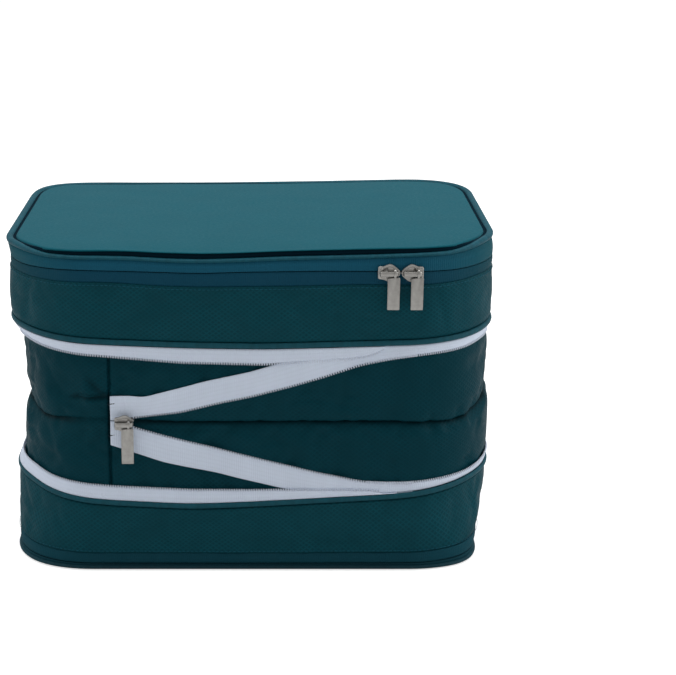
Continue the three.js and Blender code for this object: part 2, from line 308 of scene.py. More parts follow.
def cord(name, inset, z, depth, height, sides, mat):
    """Oval cord round the cube; depth and height are half sizes."""
    angle = np.linspace(-math.pi / 2, 1.5 * math.pi, sides, endpoint=False)
    inset, z, depth, height = ((v + 0 * AROUND)[:, None] for v in (inset, z, depth, height))
    return ring(name, AROUND, inset - depth * np.cos(angle), z + height * np.sin(angle), mat)


def columns(*profiles):
    """Profile rows, each a number or an array along AROUND, as (len(AROUND), rows)."""
    return np.stack([p + 0 * AROUND for p in profiles], 1)


def tape_profile(arc, low_z, high_z, low_inset, high_inset, rows, belly,
                 thick=0.9, seed=1.0, wave=0.12):
    """Thin strip from its low to its high edge, with a slight belly and softened edges."""
    share = np.linspace(0, 1, rows)
    low_inset, high_inset = low_inset + 0 * arc, high_inset + 0 * arc
    z = low_z[:, None] + (high_z - low_z)[:, None] * share
    inset = low_inset[:, None] + (high_inset - low_inset)[:, None] * share
    inset = inset - belly * np.sin(math.pi * share)
    inset = inset + wave * fbm(on_path(arc[:, None], inset, z), 18, 2, seed)
    inner_z = z[:, ::-1].copy()
    inner_z[:, 0] -= 0.12
    inner_z[:, -1] += 0.12
    return (np.concatenate([inset, inset[:, ::-1] + thick], 1),
            np.concatenate([z, inner_z], 1))


def unit_pill(sides=6):
    """Points, quads and triangles of a stitch along X from -1 to 1, radius 1 in Y and Z."""
    stops = [(-0.8, 0.75), (-0.3, 1.0), (0.3, 1.0), (0.8, 0.75)]  # x, radius
    verts = []
    for x, radius in stops:
        for k in range(sides):
            angle = 2 * math.pi * k / sides
            verts.append((x, radius * math.cos(angle), radius * math.sin(angle)))
    verts += [(-1, 0, 0), (1, 0, 0)]
    last = (len(stops) - 1) * sides
    tip = last + sides
    quads, tris = [], []
    for i in range(0, last, sides):
        for k in range(sides):
            k2 = (k + 1) % sides
            quads.append((i + k, i + sides + k, i + sides + k2, i + k2))
    for k in range(sides):
        k2 = (k + 1) % sides
        tris += [(tip, k, k2), (tip + 1, last + k2, last + k)]
    return np.array(verts, float), np.array(quads), np.array(tris)


PILL = unit_pill()


def scatter(name, centres, tangents, normals, size, mat):
    """Copies of the pill: size = (half length, half width, half depth)."""
    pill, quads, tris = PILL
    sideways = np.cross(normals, tangents)
    verts = centres[:, None]
    for i, axis in enumerate((tangents, sideways, normals)):
        verts = verts + pill[None, :, i:i + 1] * axis[:, None] * size[i]
    first = (np.arange(len(centres)) * len(pill))[:, None, None]
    quads = (quads[None] + first).reshape(-1, 4)
    tris = (tris[None] + first).reshape(-1, 3)
    verts = verts.reshape(-1, 3)
    flat = np.concatenate([quads.ravel(), tris.ravel()])
    uv = np.stack([verts[flat, 0] + verts[flat, 1], verts[flat, 2]], -1)
    return new_object(name, verts, quads.tolist() + tris.tolist(), uv, mat)


def upright(count):
    return np.tile([0.0, 0.0, 1.0], (count, 1))


# ------------------------------------------------------------------ materials
def srgb(*rgb):
    """Linear colour from 0-255 sRGB."""
    return tuple((c / 255) / 12.92 if c / 255 <= 0.04045 else ((c / 255 + 0.055) / 1.055) ** 2.4
                 for c in rgb)


def shade(colour, factor):
    return tuple(min(1.0, c * factor) for c in colour)


class Shader:
    """Short calls for building a node material; its texture space is the UV map in mm."""

    INPUTS = {
        "color": "Base Color", "rough": "Roughness", "metal": "Metallic", "normal": "Normal",
        "sheen_rough": "Sheen Roughness", "spec": "Specular IOR Level",
    }

    def __init__(self, name):
        self.mat = bpy.data.materials.new(name)
        self.mat.use_nodes = True
        self.tree = self.mat.node_tree
        self.tree.nodes.clear()
        output = self.add("OutputMaterial")
        self.bsdf = self.add("BsdfPrincipled")
        self.put(self.bsdf.outputs[0], output.inputs[0])
        uv_map = self.add("UVMap")
        uv_map.uv_map = "UVMap"
        scale = self.add("VectorMath")
        scale.operation = "SCALE"
        scale.inputs["Scale"].default_value = UV_UNIT
        self.put(uv_map.outputs[0], scale.inputs[0])
        self.place_mm = scale.outputs[0]

    def add(self, kind):
        return self.tree.nodes.new("ShaderNode" + kind)

    def put(self, value, socket):
        """Sets a socket to a number or colour, or links it."""
        if isinstance(value, (int, float)):
            socket.default_value = value
        elif isinstance(value, tuple):
            full = len(value) == len(socket.default_value)
            socket.default_value = value if full else value + (1.0,)
        else:
            self.tree.links.new(value, socket)

    def split(self):
        """The coordinates along the piece and across it, in mm."""
        node = self.add("SeparateXYZ")
        self.put(self.place_mm, node.inputs[0])
        return node.outputs[0], node.outputs[1]

    def calc(self, operation, *values):
        node = self.add("Math")
        node.operation = operation
        for value, socket in zip(values, node.inputs):
            self.put(value, socket)
        return node.outputs[0]

    def wave(self, x, pitch):
        """0 to 1 cosine of x."""
        turn = self.calc("MULTIPLY_ADD", x, 2 * math.pi / pitch, 0.0)
        return self.calc("MULTIPLY_ADD", self.calc("COSINE", turn), 0.5, 0.5)

    def noise(self, scale, detail=3.0, rough=0.5, stretch=None):
        node = self.add("TexNoise")
        node.inputs["Scale"].default_value = scale
        node.inputs["Detail"].default_value = detail
        node.inputs["Roughness"].default_value = rough
        source = self.place_mm
        if stretch:
            multiply = self.add("VectorMath")
            multiply.operation = "MULTIPLY"
            multiply.inputs[1].default_value = stretch
            self.put(source, multiply.inputs[0])
            source = multiply.outputs[0]
        self.put(source, node.inputs["Vector"])
        return node.outputs["Fac"]

    def ramp(self, x, span, to=(0.0, 1.0)):
        """Maps x from span to another range, clamped."""
        node = self.add("MapRange")
        node.clamp = True
        for value, socket in zip((x, *span, *to), node.inputs):
            self.put(value, socket)
        return node.outputs[0]

    def mix(self, factor, first, second, blend="MIX"):
        node = self.add("Mix")
        node.data_type, node.blend_type = "RGBA", blend
        for value, i in ((factor, 0), (first, 6), (second, 7)):
            self.put(value, node.inputs[i])
        return node.outputs[2]

    def bump(self, height, mm, strength, normal=None):
        node = self.add("Bump")
        node.inputs["Strength"].default_value = strength
        node.inputs["Distance"].default_value = mm * MM
        self.put(height, node.inputs["Height"])
        if normal:
            self.put(normal, node.inputs["Normal"])
        return node.outputs[0]

    def finish(self, **values):
        for key, value in values.items():
            self.put(value, self.bsdf.inputs[self.INPUTS[key]])
        return self.mat


def ripstop(name, base, line=0.85, rough=0.55, spec=0.06, fold=0.0):
    """Thin nylon with a small diamond ripstop. line is the strength of the diamonds, fold
    how far the mesh attribute "fold" darkens the cloth as painted shade in its creases."""
    mat = Shader(name)
    along, across = mat.split()
    diamond = 3.7, 2.7  # mm
    slants = [mat.calc(op, mat.calc("MULTIPLY", along, 1 / diamond[0]),
                       mat.calc("MULTIPLY", across, 1 / diamond[1]))
              for op in ("ADD", "SUBTRACT")]
    sharpness = 5.0
    lines = [mat.calc("POWER", mat.calc("ABSOLUTE", mat.calc(
        "COSINE", mat.calc("MULTIPLY", slant, math.pi))), sharpness) for slant in slants]
    grid = mat.calc("MAXIMUM", *lines)
    patch = mat.ramp(mat.noise(scale=0.045, detail=2.0), span=(0.36, 0.62), to=(0.45, 1.0))
    weave = mat.calc("MULTIPLY", mat.wave(along, pitch=0.62), mat.wave(across, pitch=0.55))
    broad = mat.noise(scale=0.02)
    tone = mat.calc("MULTIPLY", mat.calc("MULTIPLY", grid, patch), line)
    colour = mat.mix(tone, shade(base, 0.84), shade(base, 1.32))
    colour = mat.mix(mat.ramp(broad, span=(0.3, 0.7), to=(0.0, 0.16)), colour, shade(base, 0.7))
    # painted shade: the mesh attribute "fold" darkens the cloth where its creases lie in shade
    if fold:
        attribute = mat.add("Attribute")
        attribute.attribute_name = "fold"
        dark = mat.calc("MULTIPLY", attribute.outputs["Fac"], fold)
        colour = mat.mix(dark, colour, shade(base, 0.12))
    height = mat.calc("ADD", mat.calc("MULTIPLY", grid, patch),
                      mat.calc("MULTIPLY", weave, 0.18))
    normal = mat.bump(height, mm=0.22, strength=0.6)
    crumple = mat.noise(scale=0.12, detail=4.0, rough=0.55)
    normal = mat.bump(crumple, mm=1.1, strength=0.35, normal=normal)
    wear = mat.ramp(mat.noise(scale=0.3, detail=2.0), span=(0.3, 0.7), to=(-0.05, 0.06))
    return mat.finish(color=colour, rough=mat.calc("ADD", wear, rough), spec=spec, normal=normal)


def plain_cloth(name, base, rough=0.6, spec=0.12, weave=0.6, bump=0.1, crumple=0.5, tone=0.12):
    """Plain weave; weave is its pitch and bump its depth in mm."""
    mat = Shader(name)
    along, across = mat.split()
    threads = mat.calc("MULTIPLY", mat.wave(along, weave), mat.wave(across, weave * 0.9))
    broad = mat.noise(scale=0.03)
    colour = mat.mix(mat.ramp(broad, span=(0.3, 0.7)),
                     shade(base, 1 - tone * 0.5), shade(base, 1 + tone * 0.5))
    colour = mat.mix(mat.calc("MULTIPLY", threads, 0.12), colour, shade(base, 1.35))
    normal = mat.bump(threads, mm=bump, strength=0.5)
    normal = mat.bump(mat.noise(scale=0.1, detail=4.0, rough=0.55), mm=1.0,
                      strength=0.25 * crumple, normal=normal)
    wear = mat.ramp(mat.noise(scale=0.5, detail=2.0), span=(0.3, 0.7), to=(-0.04, 0.05))
    return mat.finish(color=colour, rough=mat.calc("ADD", wear, rough), spec=spec,
                      sheen_rough=0.45, normal=normal)


def paint_side_light_and_shade(mat, along, colour, factor):
    """Paints light (factor above 1) and shade (factor below 1) on a ring's cloth away from the
    front by changing its tone; 1 leaves it alone.
    """
    if factor == 1:
        return colour
    paints_light = factor > 1
    painted_side_tint = ((factor * 1.1, factor, factor * 0.98) if paints_light
            else (factor, factor * 1.08, factor * 0.86))
    away = mat.ramp(mat.calc("ABSOLUTE", along), span=(95.0, 160.0))
    return mat.mix(away, colour, painted_side_tint, "MULTIPLY")


def ribbed_tape(name, base, pitch=1.3, depth=0.2, contrast=0.25, rough=0.7, ends=1):
    """Woven tape: ribs across its width, with a few fine lines along it."""
    mat = Shader(name)
    along, across = mat.split()
    rib = mat.wave(along, pitch)
    slant = mat.calc("ADD", along, mat.calc("MULTIPLY", across, 0.35))
    fine = mat.wave(slant, pitch / 2.0)
    lines = mat.calc("POWER", mat.wave(across, pitch=2.4), 3.0)
    height = mat.calc("ADD", rib, mat.calc("MULTIPLY", fine, 0.3))
    wear = mat.noise(scale=0.06)
    colour = mat.mix(mat.calc("MULTIPLY", rib, contrast),
                     shade(base, 1 + contrast * 0.35), shade(base, 1 - contrast))
    colour = mat.mix(mat.calc("MULTIPLY", lines, 0.10), colour, shade(base, 0.7))
    colour = mat.mix(mat.ramp(wear, span=(0.35, 0.7), to=(0.0, 0.12)), colour,
                     shade(base, 0.78))
    # ends paints light and shade on the tape's sides and back
    colour = paint_side_light_and_shade(mat, along, colour, ends)
    height = mat.calc("ADD", height, mat.calc("MULTIPLY", lines, -0.25))
    normal = mat.bump(height, mm=depth, strength=0.7)
    worn = mat.ramp(wear, span=(0.3, 0.7), to=(rough - 0.05, rough + 0.06))
    return mat.finish(color=colour, rough=worn, spec=0.1, normal=normal)


def cord_cloth(name, base, ends=1):
    """Bias-cut cloth over a cord."""
    mat = Shader(name)
    along, across = mat.split()
    weave = mat.wave(mat.calc("ADD", along, across), pitch=0.7)
    pucker = mat.noise(scale=0.5, detail=2.0, stretch=(0.8, 0.15, 1))
    colour = mat.mix(mat.ramp(pucker, span=(0.35, 0.65)), shade(base, 0.88), shade(base, 1.12))
    # ends paints light and shade on the cord's sides and back
    colour = paint_side_light_and_shade(mat, along, colour, ends)
    normal = mat.bump(weave, mm=0.07, strength=0.5)
    normal = mat.bump(pucker, mm=0.35, strength=0.5, normal=normal)
    return mat.finish(color=colour, rough=0.55, spec=0.15, normal=normal)


def thread(name, base):
    mat = Shader(name)
    along, across = mat.split()
    twist = mat.wave(mat.calc("ADD", mat.calc("MULTIPLY", along, 2.0), across), pitch=0.5)
    colour = mat.mix(twist, shade(base, 0.85), shade(base, 1.12))
    return mat.finish(color=colour, rough=0.6, spec=0.12,
                      normal=mat.bump(twist, mm=0.05, strength=0.5))


def nylon(name, base, rough, spec):
    mat = Shader(name)
    grain = mat.noise(scale=1.5)
    colour = mat.mix(grain, shade(base, 0.9), shade(base, 1.06))
    worn = mat.ramp(grain, span=(0.3, 0.7), to=(rough - 0.06, rough + 0.08))
    return mat.finish(color=colour, rough=worn, spec=spec,
                      normal=mat.bump(grain, mm=0.03, strength=0.4))


def nickel(name, base, rough):
    mat = Shader(name)
    brushed = mat.noise(scale=2.2, rough=0.6, stretch=(0.25, 2.0, 1))
    smudge = mat.noise(scale=0.35)
    colour = mat.mix(mat.ramp(smudge, span=(0.35, 0.7)), base, shade(base, 0.86))
    worn = mat.calc("ADD", mat.ramp(brushed, span=(0.3, 0.7), to=(-0.06, 0.08)),
                    mat.ramp(smudge, span=(0.3, 0.7), to=(rough - 0.03, rough + 0.09)))
    return mat.finish(color=colour, rough=worn, metal=1.0,
                      normal=mat.bump(brushed, mm=0.02, strength=0.35))


# darker teal than the top rim: paints the shade along the bottom edge on the bottom rim and its
# zip tape
LOW_RIM_PAINTED_SHADE = srgb(4, 44, 54)
MAT = dict(
    panel=plain_cloth("lid_panel_cloth", srgb(7, 83, 96), rough=0.5, spec=0.07, weave=0.7,
                      bump=0.06, crumple=0.3, tone=0.05),
    wall=ripstop("ripstop_wall", srgb(8, 64, 74)),
    # fold=0.8 gives the bellows cloth painted shade in its creases
    gusset=ripstop("gusset_cloth", srgb(3, 55, 65), line=0.5, rough=0.5, spec=0.05, fold=0.8),
    rim=cord_cloth("rim_cloth", srgb(14, 76, 90)),
    # ends paints shade (below 1) and light (above 1) on a tape's or rim's sides and back
    tape=ribbed_tape("teal_zip_tape", srgb(16, 78, 100), contrast=0.22, ends=0.86),
    shell_tape=ribbed_tape("shell_zip_tape", srgb(8, 63, 83), contrast=0.22, ends=0.9),
    low_rim=cord_cloth("bottom_rim_cloth", LOW_RIM_PAINTED_SHADE, ends=1.9),
    low_tape=ribbed_tape("bottom_lid_zip_tape", LOW_RIM_PAINTED_SHADE, contrast=0.2, ends=1.9),
    low_shell_tape=ribbed_tape("bottom_shell_zip_tape", srgb(7, 58, 70), contrast=0.2, ends=1.3),
    piping=cord_cloth("piping_cloth", srgb(14, 72, 84)),
    lining=plain_cloth("lining_cloth", srgb(20, 70, 80), rough=0.65, weave=0.8, bump=0.08,
                       crumple=1.0),
    binding=ribbed_tape("binding_tape", srgb(14, 58, 68), pitch=1.0, contrast=0.15),
    white=ribbed_tape("white_zip_tape", srgb(210, 220, 236), depth=0.16, contrast=0.10,
                      rough=0.75),
    teeth=nylon("white_coil_teeth", srgb(206, 214, 228), rough=0.45, spec=0.3),
    coil=nylon("teal_zip_coil", srgb(8, 34, 44), rough=0.45, spec=0.15),
    foam=plain_cloth("foam", srgb(186, 190, 192), rough=0.9, spec=0.1, weave=1.1, bump=0.3),
    divider=plain_cloth("divider_cloth", srgb(20, 74, 84), weave=1.0, bump=0.12, crumple=1.2),
    hinge=plain_cloth("hinge_cloth", srgb(16, 66, 76)),
    metal=nickel("satin_nickel", srgb(168, 166, 162), rough=0.36),
    thread=thread("seam_thread", srgb(22, 84, 102)),
    dark=thread("dark_thread", srgb(2, 22, 32)),
    # dark cloth that paints the shade in the groove under the lid's edge
    painted_shade_recess=plain_cloth("seam_painted_shade_cloth", srgb(4, 30, 42), rough=0.8, spec=0.03),
)


def place(ob, body, slot, *nodes, squash=None):
    """Puts a finished piece on its body, in place of CAD nodes."""
    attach(ob, body)
    if nodes:
        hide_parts(*nodes)
    if squash:
        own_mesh(ob)


# ------------------------------------------------------------------ measured lines
# Each table holds (arc, height). The white tapes start on the front right and end on a tail
# behind their own start; FRONT lines serve the outer layer, TAIL lines the one behind.
UP_TOP = table([
    (-472, 145.4), (-330, 145.8), (-235, 147), (-149, 146.6), (-110, 145), (-83, 143.6),
    (-42, 142.2), (-27, 141.9), (8, 141.6), (42, 142.6), (81, 143.9), (106, 144.8),
    (128, 145.6), (157, 146.8), (200, 147), (235, 147), (330, 146)])
UP_LOW_FRONT = table([
    (-472, 135), (-330, 136), (-235, 139), (-149, 140.2), (-110, 137.6), (-83, 135.7),
    (-42, 132.4), (8, 131.4), (42, 133.4), (60, 135.0), (72, 136.9), (78, 139.6), (83, 144.5),
    (86, 146), (250, 146), (330, 136.5)], 2.0)
UP_LOW_TAIL = table([
    (-472, 135), (-330, 136), (40, 131.0), (66, 131.8), (73, 133.4), (93, 136.6), (113, 137.9),
    (134, 138.8), (151, 140.6), (200, 141.2), (235, 140), (330, 136.5)], 5.0)
DOWN_LOW = table([
    (-472, 50), (-330, 51), (-235, 54), (-180, 55), (-141, 52.7), (-125, 49.6), (-85, 45.2),
    (-36, 42.8), (0, 44.2), (23, 45.6), (60, 47.8), (83, 49.1), (111, 52), (146, 56.4),
    (200, 58), (235, 57), (330, 52)])
DOWN_TOP_FRONT = table([
    (-472, 60), (-330, 60.5), (-235, 62), (-180, 62.5), (-141, 60.5), (-125, 58), (-84, 54.6),
    (-36, 52.4), (0, 52.3), (23, 52.6), (60, 52.6), (74, 52.4), (80, 51.4), (85, 49.4),
    (88, 47.5), (250, 47.5), (330, 61)], 2.0)
DOWN_TOP_TAIL = table([
    (-472, 60), (-330, 60.5), (40, 60.0), (60, 58.2), (72, 57.2), (85, 56.8), (101, 57.2),
    (138, 59.6), (170, 63.5), (200, 64.5), (235, 64), (330, 61.5)], 5.0)
# (arc, inset): how far the free edge of each white tape leans inwards
UP_LEAN = table([
    (-472, 1.5), (-300, 3), (-235, 5.2), (-190, 5.2), (-150, 3.6), (-110, 1.4), (-60, 0.6),
    (60, 0.6), (110, 1.2), (150, 1.8), (190, 2.1), (235, 2.1), (300, 2.0)])
DOWN_LEAN = table([
    (-472, 1.2), (-300, 2), (-235, 3.4), (-190, 3.4), (-150, 2.4), (-110, 1.0), (-60, 0.4),
    (60, 0.4), (110, 0.2), (150, -0.6), (190, -1.2), (235, -1.0), (300, 0.6)])
# dark groove between the lid's panel and rim, the zip slit, and the seam below the zip
GROOVE = table([
    (-472, 194.6), (-330, 192.8), (-235, 194.2), (-190, 195.6), (-165, 197.0), (-150, 197.8),
    (-135, 198.4), (-116, 198.8), (-88, 199.3), (-71, 199.2), (-53, 198.3), (-30, 197.8),
    (-6, 198.6), (17, 199.8), (41, 200.6), (64, 201.3), (105, 202.5), (143, 202.3),
    (152, 202.4), (180, 202.0), (235, 200.0), (290, 197.8), (330, 196.4)], 5.0)
SLIT = table([
    (-472, 190), (-330, 189.6), (-235, 188.4), (-190, 187.7), (-143, 187.7), (-127, 188.6),
    (-103, 189.7), (-71, 189.2), (-30, 188.2), (-6, 189.2), (17, 189.7), (41, 190.2),
    (105, 190.4), (125, 189.8), (144, 190.0), (200, 190), (330, 190)], 5.0)
SEAM = table([
    (-472, 181), (-330, 181), (-235, 183), (-190, 183), (-144, 182.4), (-116, 182.8),
    (-88, 183.6), (-71, 182.6), (-53, 181.4), (-30, 180.9), (17, 181.7), (41, 182.4),
    (64, 183.1), (105, 183.1), (126, 183.6), (145, 184.4), (200, 184), (330, 181.5)], 5.0)
# the bottom zip's slit and the seam above it
LOW_SLIT = table([
    (-472, 6.5), (-235, 6.3), (-170, 4.9), (-100, 4.0), (0, 3.9), (100, 4.2), (150, 5.4),
    (185, 6.5), (235, 6.5), (330, 6.5)], 6.0)
LOW_SEAM = table([
    (-472, 12.8), (-235, 12.6), (-170, 11.0), (-100, 9.4), (0, 9.2), (100, 9.8), (150, 12.0),
    (200, 13.0), (330, 12.8)], 6.0)


def front_arc(x):
    """Arc length on the front half for a given x."""
    reach = np.abs(x)
    angle = np.arcsin(np.clip((reach - HALF_X) / CORNER_R, 0, 0.999))
    return np.sign(x) * np.where(reach < HALF_X, reach, HALF_X + CORNER_R * angle)


def lid_top(x, y):
    """Height of the lid's surface, blended from its front edge to its back edge."""
    front = GROOVE(front_arc(np.clip(x, -145, 145))) + 2.9
    back = 196.5 + 0.02 * x + 0.00007 * x * x
    share = clip01((y - FRONT_Y) / (-2 * FRONT_Y))
    return front * (1 - share) + back * share


# ------------------------------------------------------------------ padded sheets
LID_LEVEL = 199.6  # nominal height of the lid's surface


def pad(name, edge_inset, outer_z, inner_z, crown, edge_r, mat, up=True, tilt=0.0, seed=1.0,
        bump=0.35, sag=0.0, least=None):
    """A padded sheet with a rounded edge. tilt is how far it follows the lid's surface, sag
    how far it is drawn down where it is sewn, least its lowest height."""
    sign = 1.0 if up else -1.0
    edge = on_path(PAD_ARC, edge_inset, outer_z)[:, :2]
    normals = path(PAD_ARC)[1]
    # the rows shrink to a short middle line
    middle = np.stack([edge[:, 0] * 40.0 / 144.0, 0 * edge[:, 0]], -1)
    inner = edge - normals * edge_r
    rows, heights = [], []
    for share in np.linspace(0, 1, 26) ** 0.7:
        point = middle + (inner - middle) * share
        rows.append(point)
        x, y = np.abs(point[:, 0]) / 146, np.abs(point[:, 1]) / 106
        dome = (1 - x**2.6) * (1 - y**2.6)
        point = np.concatenate([point, np.zeros((len(point), 1))], 1)
        height = crown * dome + bump * fbm(point, 60, 2, seed)
        height = height + bump * 0.45 * fbm(point, 22, 2, seed + 3)
        height = height - sag * bell((1 - share) * 70, 6.0, 1.3)
        heights.append(outer_z + sign * height)
    rim_z = heights[-1]
    half = abs(outer_z - inner_z) / 2
    for angle in np.linspace(0, math.pi, 12)[1:-1]:
        rows.append(inner + normals * edge_r * math.sin(angle))
        heights.append((outer_z + inner_z) / 2 + sign * half * math.cos(angle)
                       + (rim_z - outer_z) * (1 + math.cos(angle)) / 2)
    for share in np.linspace(1, 0, 8):
        rows.append(middle + (inner - middle) * share)
        heights.append(inner_z + 0 * rim_z)
    flat = np.stack(rows, 1)
    z = np.stack(heights, 1)
    if tilt:
        z = z + tilt * (lid_top(flat[..., 0], flat[..., 1]) - LID_LEVEL)
    if least is not None:
        z = np.maximum(z, least)
    points = np.concatenate([flat, z[..., None]], -1)
    if up:  # the outer side must run upwards
        points = points[:, ::-1]
    faces = grid_faces(*z.shape, True, False)[0]
    verts = points.reshape(-1, 3)
    ob = new_object(name, verts, faces, verts[faces][..., :2].reshape(-1, 2), mat)
    bm = bmesh.new()
    bm.from_mesh(ob.data)
    bmesh.ops.remove_doubles(bm, verts=bm.verts, dist=2e-6)
    bmesh.ops.dissolve_degenerate(bm, edges=bm.edges, dist=1e-6)
    bmesh.ops.recalc_face_normals(bm, faces=bm.faces)
    bm.to_mesh(ob.data)
    bm.free()
    return ob


# ------------------------------------------------------------------ simulated cloth
def cloth_relief(arc, inset, z, pin, pressure, shrink, cap):
    """Lets a coarse band of cloth, held where pin is 1, fill out under pressure. Returns
    its change of inset, at most cap, less the mean of each row."""
    rest = on_path(arc[:, None], inset, z)
    ob = new_object("cloth_band", rest.reshape(-1, 3), grid_faces(*inset.shape, True, False)[0])
    group = ob.vertex_groups.new(name="pin")
    weights = pin.reshape(-1).round(2)
    for value in np.unique(weights):
        if value > 0:
            group.add(np.nonzero(weights == value)[0].tolist(), float(value), "REPLACE")
    mod = ob.modifiers.new("cloth", "CLOTH")
    cloth = mod.settings
    cloth.quality = 7
    cloth.mass = 0.25
    cloth.tension_stiffness = 12.0
    cloth.compression_stiffness = 12.0
    cloth.shear_stiffness = 6.0
    cloth.bending_stiffness = 1.2
    cloth.vertex_group_mass = "pin"
    cloth.use_pressure = True
    cloth.uniform_pressure_force = pressure
    cloth.shrink_min = shrink
    cloth.effector_weights.gravity = 0
    mod.collision_settings.use_collision = False
    mod.collision_settings.use_self_collision = False
    frames = 20
    mod.point_cache.frame_start, mod.point_cache.frame_end = 1, frames
    for frame in range(1, frames + 1):
        bpy.context.scene.frame_set(frame)
    posed = ob.evaluated_get(bpy.context.evaluated_depsgraph_get())
    mesh = posed.to_mesh()
    moved = np.empty(len(mesh.vertices) * 3)
    mesh.vertices.foreach_get("co", moved)
    posed.to_mesh_clear()
    bpy.data.objects.remove(ob, do_unlink=True)
    bpy.context.scene.frame_set(1)
    shift = moved.reshape(rest.shape) / MM - rest
    normals = path(arc)[1]
    change = -(shift[..., 0] * normals[:, None, 0] + shift[..., 1] * normals[:, None, 1])
    change = np.clip(change, -cap, cap)
    return change - change.mean(0)


def spline_weights(x, count, periodic):
    """Catmull-Rom neighbours of x and their weights."""
    first = np.floor(x).astype(int)
    part = x - first
    near = [first - 1, first, first + 1, first + 2]
    near = [i % count if periodic else np.clip(i, 0, count - 1) for i in near]
    return list(zip(near, [-0.5 * part + part**2 - 0.5 * part**3,
                           1 - 2.5 * part**2 + 1.5 * part**3,
                           0.5 * part + 2 * part**2 - 1.5 * part**3,
                           -0.5 * part**2 + 0.5 * part**3]))


def resample(coarse_rows, field, arc, rows):
    """Smoothly reads a field on (CLOTH_ARC, coarse_rows) at finer stations and rows."""
    step = CLOTH_ARC[1] - CLOTH_ARC[0]
    by_arc = spline_weights((arc - CLOTH_ARC[0]) / step, len(CLOTH_ARC), True)
    by_row = spline_weights(np.interp(rows, coarse_rows, np.arange(len(coarse_rows))),
                            len(coarse_rows), False)
    total = 0
    for i, arc_weight in by_arc:
        for j, row_weight in by_row:
            total = total + field[i][:, j] * arc_weight[:, None] * row_weight[None]
    return total


# ------------------------------------------------------------------ top lid
def frontness(arc):
    """1 across the front, 0 on the sides and back."""
    return smoothstep((158 - np.abs(wrap(arc))) / 40)


def groove_half(arc):
    """Half the height of the groove under the panel's edge."""
    return 0.8 + 0.65 * bell(arc + 10, 95, 4) + 0.25 * bell(arc - 100, 50, 4)


# A corded rim stands round the panel; at the front it sits lower, and the panel's edge hangs
# over a dark groove.
front = frontness(PAD_ARC) ** 2
place(pad("top_panel_cushion", 6.7 - 3.6 * front, LID_LEVEL,
          195.4 + (1.3 + groove_half(PAD_ARC)) * front, crown=0.9, edge_r=1.5,
          mat=MAT["panel"], tilt=1.0, sag=0.4, least=193.5),
      "top_lid", "lid_panel", "top_panel")
place(pad("top_foam_sheet", 9.4, 194.9, 193.6, crown=0.0, edge_r=0.6, mat=MAT["foam"],
          bump=0.0, tilt=0.12), "top_lid", "foam", "top_panel_foam")
place(pad("top_lid_lining", 6.4, 192.4, 192.9, crown=0.8, edge_r=0.3, mat=MAT["lining"],
          up=False, seed=4, bump=0.5), "top_lid", "lining", "top_panel_lining")

front = frontness(AROUND)
rim_height = 1.9 - 0.7 * front  # half sizes of the cord
rim_depth = 2.2 - 0.4 * front
rim_xy = on_path(AROUND, 3.0, 199.0)
rim_level = lid_top(rim_xy[:, 0], rim_xy[:, 1]) + 0.15
rim_z = ((1 - front) * (rim_level - rim_height)
         + front * (GROOVE(AROUND) - groove_half(AROUND) - rim_height))
rim_z = rim_z + 0.1 * wander(25, 3)
place(cord("top_rim_cord", 3.1 - 0.2 * front, rim_z, rim_depth, rim_height, 18, MAT["rim"]),
      "top_lid", "rim", "top_rim_roll")

# the valley where rim and panel are sewn together, in dark cloth that paints the groove's shade
valley_xy = on_path(AROUND, 6.2, 199.0)
valley_z = lid_top(valley_xy[:, 0], valley_xy[:, 1]) - 1.3
place(ring("top_rim_valley", AROUND, columns(4.2, 4.9, 8.4, 8.4, 4.2),
           columns(valley_z - 0.9, valley_z, valley_z, valley_z - 1.1, valley_z - 1.1),
           MAT["painted_shade_recess"]), "top_lid", "rim")
# the recessed seam behind the groove, in dark cloth that paints the groove's shade
seam_low, seam_high = GROOVE(AROUND) - 3.2, GROOVE(AROUND) + 1.5
place(ring("top_rim_seam", AROUND, columns(3.9, 3.9, 5.2, 5.2),
           columns(seam_low, seam_high, seam_high, seam_low), MAT["painted_shade_recess"]),
      "top_lid", "binding")

# ------------------------------------------------------------------ lid zips
ZIP_GAP = 0.25  # from the slit to each tape


def zip_tape(name, low, high, insets, belly, rows, mat, body, node):
    inset, z = tape_profile(AROUND, low, high, *insets, rows=rows, belly=belly)
    place(ring(name, AROUND, inset, z, mat), body, "zip_tape", node)


def coil_row(name, line, shift, body, node):
    """Zip coil seen edge on: small loops side by side, shift above a line."""
    pitch = 1.35
    arc = np.arange(-GIRTH / 2, GIRTH / 2 - pitch / 2, pitch)
    centres = on_path(arc, 2.3, line(arc) + shift)
    place(scatter(name, centres, upright(len(arc)), outward(arc), (0.65, pitch * 0.36, 0.65),
                  MAT["coil"]), body, "zip_coil", node)


zip_tape("top_lid_tape", SLIT(AROUND) + ZIP_GAP, rim_z - rim_height + 0.6, (0.8, 2.3),
         belly=0.7, rows=11, mat=MAT["tape"], body="top_lid", node="top_lid_zip_tape")
zip_tape("upper_shell_tape", SEAM(AROUND) - 0.8, SLIT(AROUND) - ZIP_GAP, (1.2, 0.9),
         belly=0.35, rows=9, mat=MAT["shell_tape"], body="upper_shell", node="upper_zip_tape")
coil_row("top_lid_coil", SLIT, 0.75, "top_lid", "top_lid_zip_coil")
coil_row("upper_shell_coil", SLIT, -0.75, "upper_shell", "upper_zip_coil")

